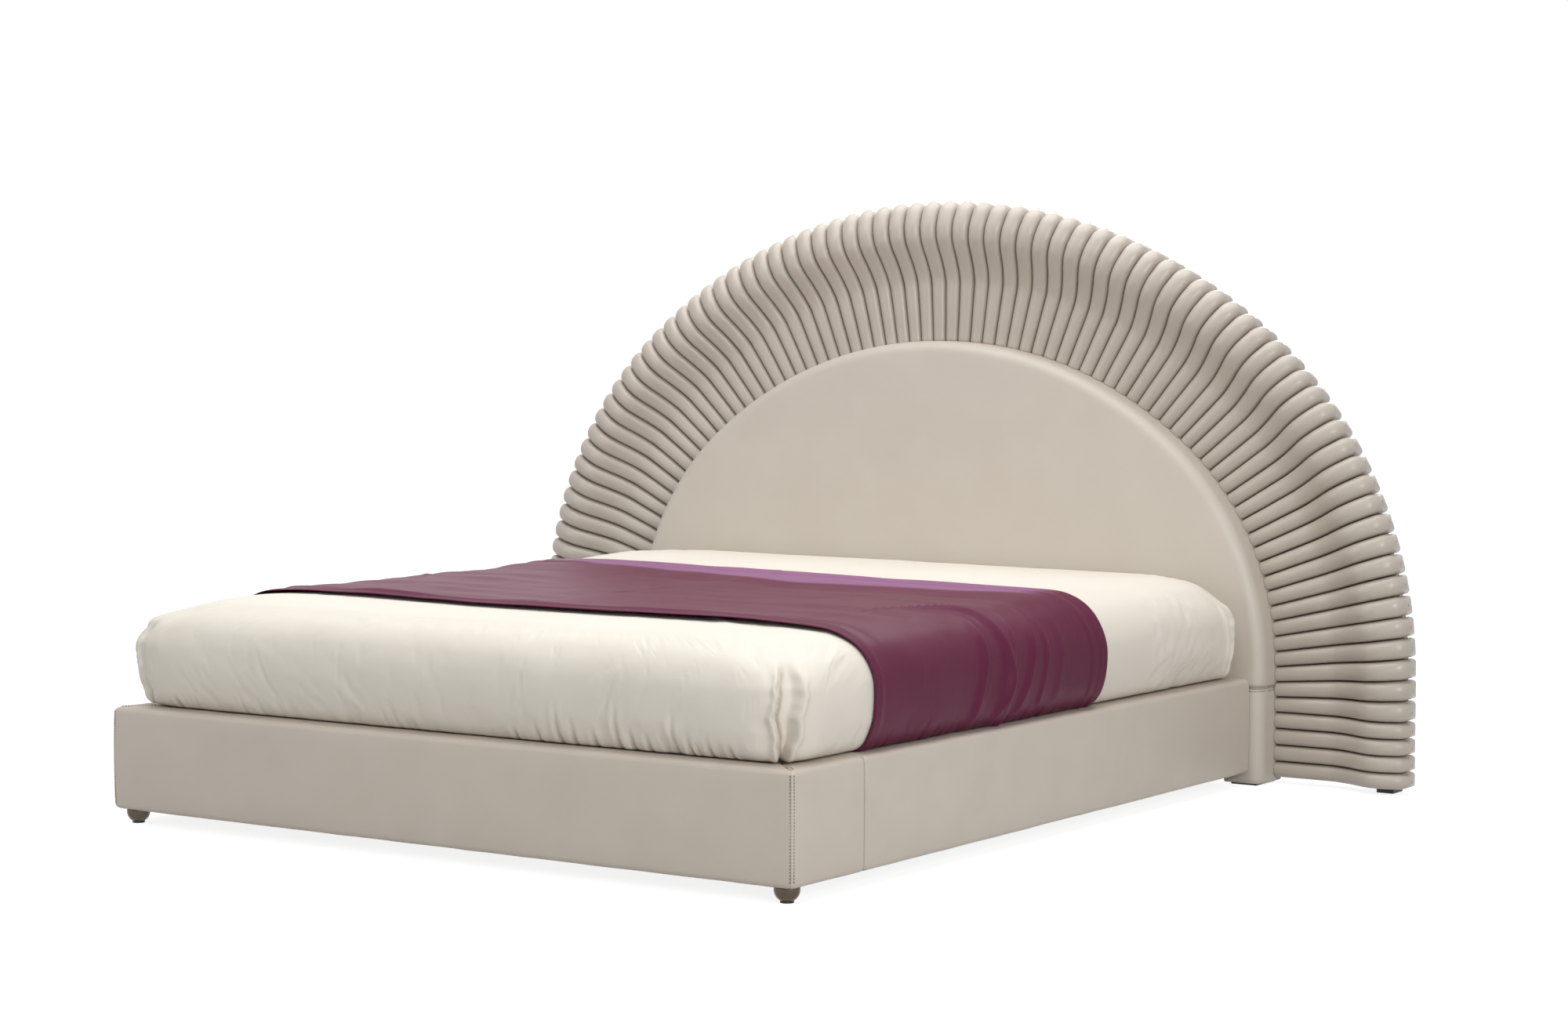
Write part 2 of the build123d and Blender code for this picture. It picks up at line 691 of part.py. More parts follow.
def bedding_form(grow_out, grow_up):
    """Solid of the bedding's outer form, grown sideways and upwards."""
    half = mattress_width / 2 + tuck_thickness
    with BuildPart(mode=Mode.PRIVATE) as form:
        for level, bulge_share, corner in zip(level_shares, bulge_shares, corner_shares):
            out = bulge_share * bedding_bulge
            head_out = bulge_share * bedding_head_bulge if bulge_share > 0 else out
            start = mattress_start - tuck_thickness - out - grow_out
            end = mattress_end + tuck_thickness + head_out + grow_out
            with BuildSketch(Plane.XY.offset(base_top + level * (bedding_rise + grow_up))):
                with Locations((0, (start + end) / 2)):
                    RectangleRounded(2 * (half + out + grow_out), end - start, mattress_corner_radius * corner)
        loft(ruled=True)
    return form.part


with BuildPart() as bedding:
    add(bedding_form(0, 0))
    with BuildSketch(Plane.XY.offset(base_top - tuck_depth)):
        with Locations((0, mattress_middle)):
            RectangleRounded(mattress_width + 2 * tuck_thickness, mattress_length + 2 * tuck_thickness,
                             mattress_corner_radius)
    extrude(amount=tuck_depth)
    with BuildSketch(Plane.XY.offset(base_top - tuck_depth)):
        with Locations((0, mattress_middle)):
            RectangleRounded(mattress_width + 2 * bedding_gap, mattress_length + 2 * bedding_gap,
                             mattress_corner_radius)
    extrude(amount=mattress_top + bedding_gap - base_top + tuck_depth, mode=Mode.SUBTRACT)
keep(bedding.part, "bedding")

throw_near = foot_face + throw_from_foot
with BuildPart() as throw:
    add(bedding_form(bedding_gap + throw_thickness, throw_thickness))
    block(-bed_width, bed_width, throw_near, throw_near + throw_width, base_top + throw_rim_gap,
          base_top + 2 * bedding_rise, mode=Mode.INTERSECT)
    add(bedding_form(bedding_gap, bedding_gap), mode=Mode.SUBTRACT)
keep(throw.part, "throw")

print("pieces", len(made))
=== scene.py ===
"""Looks of an upholstered double bed with a fan of padded rolls round its headboard.

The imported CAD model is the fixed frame: X runs across the bed, Y from the foot to the head and Z up
from the floor, in metres.  Each class below builds and dresses one sub-assembly of the bed.
"""

import logging
import math
from dataclasses import dataclass, field
from enum import Enum
from typing import Callable, Iterable, Optional, Sequence

import bmesh
import bpy
import numpy as np
from mathutils import Matrix, Vector, noise


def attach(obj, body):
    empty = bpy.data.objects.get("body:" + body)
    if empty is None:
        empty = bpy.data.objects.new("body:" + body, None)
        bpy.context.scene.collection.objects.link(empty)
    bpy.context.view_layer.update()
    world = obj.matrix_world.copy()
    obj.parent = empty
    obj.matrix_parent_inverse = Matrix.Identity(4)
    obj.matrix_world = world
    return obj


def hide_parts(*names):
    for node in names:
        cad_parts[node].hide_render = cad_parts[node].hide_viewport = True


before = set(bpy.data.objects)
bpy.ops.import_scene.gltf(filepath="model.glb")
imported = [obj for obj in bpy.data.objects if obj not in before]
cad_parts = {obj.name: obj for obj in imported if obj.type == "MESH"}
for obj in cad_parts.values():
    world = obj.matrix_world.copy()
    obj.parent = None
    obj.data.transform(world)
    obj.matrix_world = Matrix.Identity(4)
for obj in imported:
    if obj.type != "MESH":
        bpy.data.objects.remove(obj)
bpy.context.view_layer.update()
log = logging.getLogger("bed")

Point = tuple[float, float, float]
Flat = tuple[float, float]
Fold = tuple[float, float, float]  # height, place and width of a fold
Tree = bpy.types.NodeTree
Socket = bpy.types.NodeSocket

SIDES = (("left", -1), ("right", 1))
NOISE_LOW, NOISE_HIGH = 0.3, 0.7  # Blender's noise texture seldom leaves this range

# Places in the frame that several sub-assemblies share, in metres.
FOOT = -1.1325  # outer face of the footboard, along Y
PANEL_FACE = 0.9875  # front of the headboard's panel, along Y
BOARD_FACE = 1.1125  # front of the boards that carry the rolls
BOARD_BACK = 1.1305
HALF_WIDTH = 0.98  # outer face of the side rails, along X
RIM_INNER = 0.90  # their inner face
LEG_INNER = 0.906  # inner side of the headboard's legs
BASE_BOTTOM = 0.034
BASE_TOP = 0.280
SEAM_HEIGHT = 0.253  # seam between the panel and the legs
CORNER_SEAM = 0.005  # corner seams of the footboard, from the corner


def linear(hex_colour: str) -> tuple[float, float, float, float]:
    """Turns an sRGB hex colour into the linear colour that shaders take.

    Args:
        hex_colour: Colour such as "#b3a99b".

    Returns:
        Linear red, green, blue and an alpha of 1.
    """
    channels = [int(hex_colour[i:i + 2], 16) / 255 for i in (1, 3, 5)]
    bent = [c / 12.92 if c <= 0.04045 else ((c + 0.055) / 1.055) ** 2.4 for c in channels]
    return (bent[0], bent[1], bent[2], 1.0)


def add_node(tree: Tree, kind: str, settings: Optional[dict] = None,
             links: Optional[dict] = None, **attributes) -> bpy.types.Node:
    """Adds one shader node with its settings and links.

    Args:
        tree: Node tree that takes the node.
        kind: Blender's type name of the node.
        settings: Values by input socket, named or numbered.
        links: Output sockets by input socket, named or numbered.
        attributes: Plain properties of the node.

    Returns:
        The new node.
    """
    node = tree.nodes.new(kind)
    for name, value in attributes.items():
        setattr(node, name, value)
    for socket, value in (settings or {}).items():
        node.inputs[socket].default_value = value
    for socket, source in (links or {}).items():
        tree.links.new(source, node.inputs[socket])
    return node


def emboss(tree: Tree, shader: bpy.types.Node,
           *layers: tuple[Socket, float, float]) -> None:
    """Raises layers of relief on each other and gives them to a shader.

    Args:
        tree: Node tree of the material.
        shader: Shader that takes the relief.
        layers: Height, strength and depth in metres of each layer, the lowest first.
    """
    below = {}
    for height, strength, depth in layers:
        bump = add_node(tree, "ShaderNodeBump", {"Strength": strength, "Distance": depth},
                        {"Height": height, **below})
        below = {"Normal": bump.outputs["Normal"]}
    tree.links.new(below["Normal"], shader.inputs["Normal"])


def spread(tree: Tree, value: Socket, low: float,
           high: float) -> Socket:
    """Stretches a noise value so that it runs from low to high."""
    made = add_node(tree, "ShaderNodeMapRange",
                    {"From Min": NOISE_LOW, "From Max": NOISE_HIGH, "To Min": low, "To Max": high},
                    {"Value": value})
    return made.outputs["Result"]


@dataclass(frozen=True)
class Finish:
    """A surface finish: what the material is, how it was made and how it looks.

    The pattern method of each kind of finish draws its own colour and relief.
    """

    name: str
    colour: str
    shade: str
    roughness: float
    metallic: float = 0.0
    coat: float = 0.0
    sheen: float = 0.0
    sheen_roughness: float = 0.4
    specular: float = 0.5

    def material(self) -> bpy.types.Material:
        """Builds the material, once for all the pieces that it covers.

        Returns:
            The material.
        """
        if self.name in bpy.data.materials:
            return bpy.data.materials[self.name]
        made = bpy.data.materials.new(self.name)
        made.use_nodes = True
        tree = made.node_tree
        shader = tree.nodes["Principled BSDF"]
        values = {"Base Color": linear(self.colour), "Roughness": self.roughness, "Metallic": self.metallic,
                  "Coat Weight": self.coat, "Sheen Weight": self.sheen,
                  "Sheen Roughness": self.sheen_roughness}
        if not self.metallic:
            values["Specular IOR Level"] = self.specular
        for name, value in values.items():
            shader.inputs[name].default_value = value
        place = add_node(tree, "ShaderNodeTexCoord").outputs["Object"]
        self.pattern(tree, shader, place)
        return made

    def blend(self, tree: Tree, factor: Socket) -> Socket:
        """Mixes the colour with its shade by a factor."""
        mix = add_node(tree, "ShaderNodeMix", {"A": linear(self.colour), "B": linear(self.shade)},
                       {"Factor": factor}, data_type="RGBA")
        return mix.outputs["Result"]

    def mottle(self, tree: Tree, place: Socket, patch: float,
               amount: float, detail: float = 3.0) -> Socket:
        """Mixes the colour and its shade in soft patches.

        Args:
            tree: Node tree of the material.
            place: Coordinates in metres.
            patch: Size of a patch in metres.
            amount: How far the mix swings, from 0 to 1.
            detail: Octaves of finer patches.

        Returns:
            The mixed colour.
        """
        cloud = add_node(tree, "ShaderNodeTexNoise", {"Scale": 1 / patch, "Detail": detail},
                         {"Vector": place})
        return self.blend(tree, spread(tree, cloud.outputs["Fac"], 0.0, amount))

    def pattern(self, tree: Tree, shader: bpy.types.Node, place: Socket) -> None:
        """Draws the colour and relief of one kind of finish.

        Args:
            tree: Node tree of the material.
            shader: Shader that takes colour and relief.
            place: Coordinates in metres.
        """
        raise NotImplementedError


@dataclass(frozen=True)
class PigmentedHide(Finish):
    """Corrected-grain cow hide with a pigment coat: satin gloss over a fine pebbled grain."""

    cloud: float = 0.16
    cloudiness: float = 0.55
    grain: float = 0.0022
    relief: float = 0.00022
    crease_count: float = 24.0  # creases in a metre
    creases: float = 0.0009
    rub: Flat = (-0.04, 0.05)  # how far the roughness swings

    def pattern(self, tree: Tree, shader: bpy.types.Node, place: Socket) -> None:
        """Draws the pebbled grain, soft creases from stretching and a cloudy colour.

        The real grain is about 0.8 mm across; it is drawn at 2.2 mm so that it still shows.

        Args:
            tree: Node tree of the material.
            shader: Shader that takes colour and relief.
            place: Coordinates in metres.
        """
        tree.links.new(self.mottle(tree, place, self.cloud, self.cloudiness), shader.inputs["Base Color"])
        pebbles = add_node(tree, "ShaderNodeTexVoronoi", {"Scale": 1 / self.grain}, {"Vector": place},
                           feature="SMOOTH_F1")
        waves = add_node(tree, "ShaderNodeTexNoise",
                         {"Scale": self.crease_count, "Detail": 3.0, "Distortion": 0.4}, {"Vector": place})
        emboss(tree, shader, (pebbles.outputs["Distance"], 0.35, self.relief),
               (waves.outputs["Fac"], 0.5, self.creases))
        low, high = (self.roughness + change for change in self.rub)
        tree.links.new(spread(tree, waves.outputs["Fac"], low, high), shader.inputs["Roughness"])


@dataclass(frozen=True)
class WovenCloth(Finish):
    """Woven cloth: threads over and under, with soft rumples and a light nap."""

    cloud: float = 0.3
    cloudiness: float = 0.5
    thread: float = 0.0016
    relief: float = 0.00012
    rumple: float = 0.0016
    rumple_size: float = 0.07

    def pattern(self, tree: Tree, shader: bpy.types.Node, place: Socket) -> None:
        """Draws warp and weft as two crossed waves, then rumples and a cloudy colour.

        The real threads are 0.2 to 0.4 mm apart; they are drawn wider so that they still show.

        Args:
            tree: Node tree of the material.
            shader: Shader that takes colour and relief.
            place: Coordinates in metres.
        """
        tree.links.new(self.mottle(tree, place, self.cloud, self.cloudiness), shader.inputs["Base Color"])
        weave = [add_node(tree, "ShaderNodeTexWave", {"Scale": 0.05 / self.thread, "Distortion": 0.3},
                          {"Vector": place}, bands_direction=direction).outputs["Fac"]
                 for direction in ("X", "Y")]
        cross = add_node(tree, "ShaderNodeMath", {}, {0: weave[0], 1: weave[1]}, operation="MULTIPLY")
        rumples = add_node(tree, "ShaderNodeTexNoise",
                           {"Scale": 1 / self.rumple_size, "Detail": 4.0, "Distortion": 0.8},
                           {"Vector": place})
        emboss(tree, shader, (cross.outputs["Value"], 0.3, self.relief),
               (rumples.outputs["Fac"], 0.5, self.rumple))


@dataclass(frozen=True)
class SatinWithPaintedSheen(WovenCloth):
    """Plum satin with a painted sheen: where a face lies up to the light, a lilac highlight is painted into
    its colour.
    """

    # Lilac of the painted sheen: a highlight painted where the satin catches the light.
    sheen_tint: str = "#8c5c82"

    def mottle(self, tree: Tree, place: Socket, patch: float,
               amount: float, detail: float = 3.0) -> Socket:
        """Mixes in the lilac of the painted sheen where the mesh's painted sheen attribute asks for it.

        Args:
            tree: Node tree of the material.
            place: Coordinates in metres.
            patch: Size of a patch in metres.
            amount: How far the mix swings, from 0 to 1.
            detail: Octaves of finer patches.

        Returns:
            The mixed colour.
        """
        plum = Finish.mottle(self, tree, place, patch, amount, detail)
        sheen_tint = add_node(tree, "ShaderNodeAttribute", attribute_name="lilac")
        mix = add_node(tree, "ShaderNodeMix", {"B": linear(self.sheen_tint)},
                       {"Factor": sheen_tint.outputs["Fac"], "A": plum}, data_type="RGBA")
        return mix.outputs["Result"]


@dataclass(frozen=True)
class Wood(Finish):
    """Planed or peeled wood: growth rings drawn out along the length of the board."""

    ring: float = 0.012
    along: str = "X"
    stretch: float = 0.06  # rings along the board for one across it
    pores: float = 0.0002

    def pattern(self, tree: Tree, shader: bpy.types.Node, place: Socket) -> None:
        """Draws the grain as stretched noise with a fine relief of open pores.

        Args:
            tree: Node tree of the material.
            shader: Shader that takes colour and relief.
            place: Coordinates in metres.
        """
        squeeze = tuple(self.stretch if axis == self.along else 1.0 for axis in "XYZ")
        stretched = add_node(tree, "ShaderNodeMapping", {"Scale": squeeze}, {"Vector": place})
        rings = add_node(tree, "ShaderNodeTexNoise",
                         {"Scale": 1 / self.ring, "Detail": 5.0, "Distortion": 1.2},
                         {"Vector": stretched.outputs["Vector"]})
        tree.links.new(self.blend(tree, rings.outputs["Fac"]), shader.inputs["Base Color"])
        emboss(tree, shader, (rings.outputs["Fac"], 0.4, self.pores))


@dataclass(frozen=True)
class HardCoat(Finish):
    """Powder coat, plating or moulded plastic: even colour with a fine orange peel."""

    cloud: float = 0.02
    cloudiness: float = 0.5
    peel: float = 0.0009
    relief: float = 0.00005

    def pattern(self, tree: Tree, shader: bpy.types.Node, place: Socket) -> None:
        """Draws the peel and a faint change of colour.

        Args:
            tree: Node tree of the material.
            shader: Shader that takes colour and relief.
            place: Coordinates in metres.
        """
        tree.links.new(self.mottle(tree, place, self.cloud, self.cloudiness), shader.inputs["Base Color"])
        skin = add_node(tree, "ShaderNodeTexNoise", {"Scale": 1 / self.peel, "Detail": 2.0},
                        {"Vector": place})
        emboss(tree, shader, (skin.outputs["Fac"], 0.4, self.relief))


# Pigmented hide of the rim: warm greige with a broad satin gleam, so that the soft edges show.
RAIL_HIDE = PigmentedHide("hide_on_rails", "#c8beb2", "#c0b6a9", 0.46)
# The same hide over the rolls, its colour a shade darker as painted shade on the rolls; glossier, which draws
# a light line on each crest.
ROLL_HIDE_WITH_PAINTED_SHADE = PigmentedHide("hide_on_rolls", "#bab1a6", "#b0a69a", 0.38, coat=0.12)
# The same hide over the panel: flatter, a calm field between the fan and the bedding.
PANEL_HIDE = PigmentedHide("hide_on_panel", "#c7bfb4", "#c1b8ac", 0.48, creases=0.0012)
# Cotton sateen of the duvet: warm off-white, nearly matt, so that its folds show by shade alone.
COTTON_SATEEN = WovenCloth("cotton_sateen", "#e1dbd0", "#dad3c7", 0.62, sheen=0.1, specular=0.3,
                           rumple=0.0022)
# Satin of the throw: deep plum, with a lilac painted sheen where it turns up to the light at the head edge.
PLUM_SATIN = SatinWithPaintedSheen("plum_satin", "#60273f", "#562239", 0.40, sheen=0.02, sheen_roughness=0.3,
                       specular=0.07, rumple=0.003, rumple_size=0.12)
# Cotton ticking of the mattress: plain, dull and nearly white.
TICKING = WovenCloth("mattress_ticking", "#efece4", "#e6e1d6", 0.8, rumple=0.004, rumple_size=0.12)
# Polyester backing behind the headboard: dull grey-brown, coarser than the cloth in front.
LINING = WovenCloth("back_lining", "#8b8379", "#7c746a", 0.85, thread=0.0022)
# Bonded polyester thread: darker than the hide, so that the seams read as fine dotted lines.
SEAM_THREAD = HardCoat("polyester_thread", "#74695c", "#685d51", 0.6)
# Planed pine of boards and battens, with its grain across or along the bed: raw warm yellow.
PINE_X = Wood("planed_pine_across", "#d9b98a", "#bf9762", 0.6, along="X")
PINE_Y = Wood("planed_pine_along", "#d9b98a", "#bf9762", 0.6, along="Y")
# Bent beech plywood of the slats: paler, finer and smoother than the pine.
BEECH_PLY = Wood("bent_beech_plywood", "#e0c39a", "#cda576", 0.42, along="X", ring=0.008)
# Powder-coated steel of beam, ledges and brackets: near black with a soft gleam.
POWDER_STEEL = HardCoat("powder_coated_steel", "#2b2b2d", "#232325", 0.5, coat=0.2)
# Zinc plating of bolts and studs: small cold bright spots on the black steel.
ZINC_STEEL = HardCoat("zinc_plated_steel", "#b9bcc0", "#a7aaae", 0.3, metallic=1.0)
# Black nickel plating of the ball feet: a dark warm mirror that picks up the floor.
BLACK_NICKEL = HardCoat("black_nickel_plate", "#5e5349", "#4f463e", 0.2, metallic=1.0)
# Moulded nylon of the glides: flat black that hides below the bed.
BLACK_NYLON = HardCoat("moulded_black_nylon", "#141414", "#1c1c1c", 0.5)
# Moulded plastic of the slat holders: a row of small dark blocks beside the pale slats.
HOLDER_PLASTIC = HardCoat("moulded_holder_plastic", "#222224", "#1a1a1b", 0.55)


def piece(name: str, vertices: Sequence, faces: Sequence, finish: Finish, body: str,
          replaced: Iterable[str] = (), smooth: bool = True) -> bpy.types.Object:
    """Makes one mesh piece, dresses it and hands it to the CAD body that carries it.

    Args:
        name: Name of the piece.
        vertices: Points in metres in the frame's axes.
        faces: Lists of point numbers.
        finish: Finish that covers the piece.
        body: CAD body that the piece moves with.
        replaced: CAD nodes that the piece stands for.
        smooth: Whether faces are shaded smooth.

    Returns:
        The new object.
    """
    mesh = bpy.data.meshes.new(name)
    mesh.from_pydata([tuple(map(float, v)) for v in vertices], [], [tuple(map(int, f)) for f in faces])
    mesh.validate()
    tidy = bmesh.new()
    tidy.from_mesh(mesh)
    bmesh.ops.recalc_face_normals(tidy, faces=tidy.faces)
    tidy.to_mesh(mesh)
    tidy.free()
    mesh.polygons.foreach_set("use_smooth", [smooth] * len(mesh.polygons))
    made = bpy.data.objects.new(name, mesh)
    bpy.context.scene.collection.objects.link(made)
    mesh.materials.append(finish.material())
    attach(made, body)
    if replaced:
        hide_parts(*replaced)
    log.info("%s: %d faces", name, len(mesh.polygons))
    return made


def dress(nodes: Iterable[str], finish: Finish) -> None:
    """Gives CAD nodes that stay as they are a finish.

    Args:
        nodes: Names of the CAD nodes.
        finish: Finish that covers them.
    """
    for node in nodes:
        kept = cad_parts[node]
        kept.data.materials.clear()
        kept.data.materials.append(finish.material())
        log.info("%s dressed in %s", node, finish.name)


def loops_to_faces(loops: int, count: int, closed: bool = True) -> list[tuple[int, ...]]:
    """Joins loops of equal count into quads.

    Args:
        loops: How many loops there are, one after another.
        count: Points in each loop.
        closed: Whether each loop runs back to its first point.

    Returns:
        The faces.
    """
    faces = []
    for low in range(0, (loops - 1) * count, count):
        for column in range(count if closed else count - 1):
            after = (column + 1) % count
            faces.append((low + column, low + after, low + count + after, low + count + column))
    return faces


def capped(loops: int, count: int) -> list[tuple[int, ...]]:
    """Joins closed loops into a tube and caps both of its ends."""
    last = (loops - 1) * count
    return loops_to_faces(loops, count) + [tuple(range(count)), tuple(range(last, last + count))]


def shifted(faces: Iterable[tuple[int, ...]], start: int) -> list[tuple[int, ...]]:
    """Numbers faces on from a start, for a part that joins others in one mesh."""
    return [tuple(n + start for n in face) for face in faces]


def rounded_corners(low: Flat, high: Flat, radius: float) -> list[tuple[float, float, int]]:
    """Centres of a rectangle's corner arcs and the degrees where each starts, from the foot right on."""
    (x0, y0), (x1, y1) = low, high
    return [(x1 - radius, y0 + radius, -90), (x1 - radius, y1 - radius, 0),
            (x0 + radius, y1 - radius, 90), (x0 + radius, y0 + radius, 180)]


def quarter_round(radius: float, steps: int) -> list[Flat]:
    """Inset and depth of points round a quarter circle, from a side to the face in front of it."""
    angles = [math.radians(90 / steps * i) for i in range(steps + 1)]
    return [(radius * (1 - math.cos(a)), radius * (1 - math.sin(a))) for a in angles]


def rounded_end(share: float, power: float) -> float:
    """Height of a rounded end: 0 at its very end, 1 from where the share reaches 1."""
    return (1 - (1 - min(1.0, share)) ** power) ** (1 / power)


def thicken(sheet: bpy.types.Object, thickness: float, direction: int) -> None:
    """Gives a sheet its thickness, outwards for 1 and inwards for -1.

    Args:
        sheet: The sheet.
        thickness: Its thickness in metres.
        direction: 1 for outwards, -1 for inwards.
    """
    skin = sheet.modifiers.new("cloth_thickness", "SOLIDIFY")
    skin.thickness = thickness
    skin.offset = direction


def smooth_curve(places: Sequence[float], values: Sequence[float], at: np.ndarray) -> np.ndarray:
    """Passes a curve without overshoot through known values.

    Args:
        places: Rising positions of the known values.
        values: Known values.
        at: Positions to read.

    Returns:
        The curve's values there.
    """
    x, y = np.asarray(places, float), np.asarray(values, float)
    step = np.diff(x)
    slope = np.diff(y) / step
    tangent = np.zeros(len(x))
    tangent[0], tangent[-1] = slope[0], slope[-1]
    for i in range(1, len(x) - 1):
        if slope[i - 1] * slope[i] > 0:
            tangent[i] = 2 * slope[i - 1] * slope[i] / (slope[i - 1] + slope[i])
    i = np.clip(np.searchsorted(x, at) - 1, 0, len(step) - 1)
    t = np.clip((at - x[i]) / step[i], 0, 1)
    return ((2 * t ** 3 - 3 * t ** 2 + 1) * y[i] + (t ** 3 - 2 * t ** 2 + t) * step[i] * tangent[i]
            + (3 * t ** 2 - 2 * t ** 3) * y[i + 1] + (t ** 3 - t ** 2) * step[i] * tangent[i + 1])


def ripple(point: Sequence[float], size: float, seed: float = 0.0) -> float:
    """Smooth noise between about -1 and 1 at a point, with features of a given size in metres."""
    return noise.noise(Vector((point[0] / size + seed, point[1] / size, point[2] / size)))


def smooth_step(t: float) -> float:
    """Eases from 0 to 1 as t goes from 0 to 1."""
    t = min(1.0, max(0.0, t))
    return t * t * (3 - 2 * t)


def ramp(value: float, start: float, span: float) -> float:
    """Eases from 0 at a start to 1 a span later."""
    return smooth_step((value - start) / span)


def bell(off: float, width: float) -> float:
    """Bell curve of height 1 that fades about one width away from its middle."""
    return math.exp(-(off / width) ** 2)


@dataclass
class Arch:
    """Three-centred arch of the panel, with the fan of channels that spreads from it."""

    half_width: float = 1.010
    shoulder_share: float = 0.7475
    crown_angle: float = math.radians(40.1)
    shoulder_z: float = 0.306
    fan_centre: float = 0.187
    roll_length: float = 0.391
    rolls_per_side: int = 40

    def __post_init__(self) -> None:
        """Works out the radii and centres."""
        self.shoulder_radius = self.shoulder_share * self.half_width
        self.shoulder_x = self.half_width - self.shoulder_radius
        self.crown_radius = self.shoulder_radius + self.shoulder_x / math.sin(self.crown_angle)
        self.crown_z = self.shoulder_z - self.shoulder_x / math.tan(self.crown_angle)

    def outline_at(self, length: float, offset: float) -> Flat:
        """Point of the offset arch at an arc length up from the fan's centre line, on the right.

        Args:
            length: Arc length along the offset arch, up from the centre line.
            offset: How far outside the panel's outline it runs.

        Returns:
            The point (x, z).
        """
        straight = self.shoulder_z - self.fan_centre
        if length <= straight:
            return (self.half_width + offset, self.fan_centre + length)
        radius = self.shoulder_radius + offset
        span = (math.radians(90) - self.crown_angle) * radius
        if length <= straight + span:
            angle = (length - straight) / radius
            return (self.shoulder_x + radius * math.cos(angle), self.shoulder_z + radius * math.sin(angle))
        radius = self.crown_radius + offset
        angle = self.crown_angle - (length - straight - span) / radius
        return (radius * math.sin(angle), self.crown_z + radius * math.cos(angle))

    def length(self, offset: float) -> float:
        """Length of the offset arch from the fan's centre line to the top.

        Args:
            offset: How far outside the panel's outline it runs.

        Returns:
            The arc length.
        """
        straight = self.shoulder_z - self.fan_centre
        span = (math.radians(90) - self.crown_angle) * (self.shoulder_radius + offset)
        return straight + span + self.crown_angle * (self.crown_radius + offset)

    def reach(self, slope: Flat, centre: Flat, radius: float) -> Flat:
        """Point where a ray from the fan's centre meets a circle.

        Args:
            slope: Unit direction of the ray.
            centre: Centre of the circle.
            radius: Its radius.

        Returns:
            The point (x, z).
        """
        away = self.fan_centre - centre[1]
        along = -centre[0] * slope[0] + away * slope[1]
        rest = centre[0] ** 2 + away ** 2 - radius ** 2
        far = -along + math.sqrt(along ** 2 - rest)
        return (far * slope[0], self.fan_centre + far * slope[1])

    def inner_point(self, angle: float) -> Flat:
        """Where a ray from the fan's centre meets the panel's outline.

        Args:
            angle: Angle of the ray above level, in radians.

        Returns:
            The point (x, z).
        """
        slope = (math.cos(angle), math.sin(angle))
        point = self.reach(slope, (0.0, self.crown_z), self.crown_radius)
        if math.atan2(point[0], point[1] - self.crown_z) <= self.crown_angle:
            return point
        point = self.reach(slope, (self.shoulder_x, self.shoulder_z), self.shoulder_radius)
        if point[1] >= self.shoulder_z:
            return point
        return (self.half_width, self.fan_centre + self.half_width * slope[1] / slope[0])

    def channel(self, index: int) -> tuple[Flat, Flat]:
        """Inner and outer end of the channel at a count of rolls up from the leg, on the right."""
        outer = self.outline_at(index * self.length(self.roll_length) / self.rolls_per_side, self.roll_length)
        return self.inner_point(math.atan2(outer[1] - self.fan_centre, outer[0])), outer

    def half_outline(self, inset: float, bottom: float, count: int) -> list[Flat]:
        """Right half of the inset outline, from a level line up to the top.

        Args:
            inset: How far inside the arch it runs.
            bottom: Height of the level line.
            count: How many points it has.

        Returns:
            The points, spaced evenly.
        """
        low = bottom - self.fan_centre
        return [self.outline_at(low + (self.length(-inset) - low) * i / (count - 1), -inset)
                for i in range(count)]


class Stretch(Enum):
    """Stretches of the fan on each side, as first and last roll of each."""

    SIDE = (0, 10)
    SHOULDER = (10, 20)
    HAUNCH = (20, 30)
    CROWN = (30, 40)


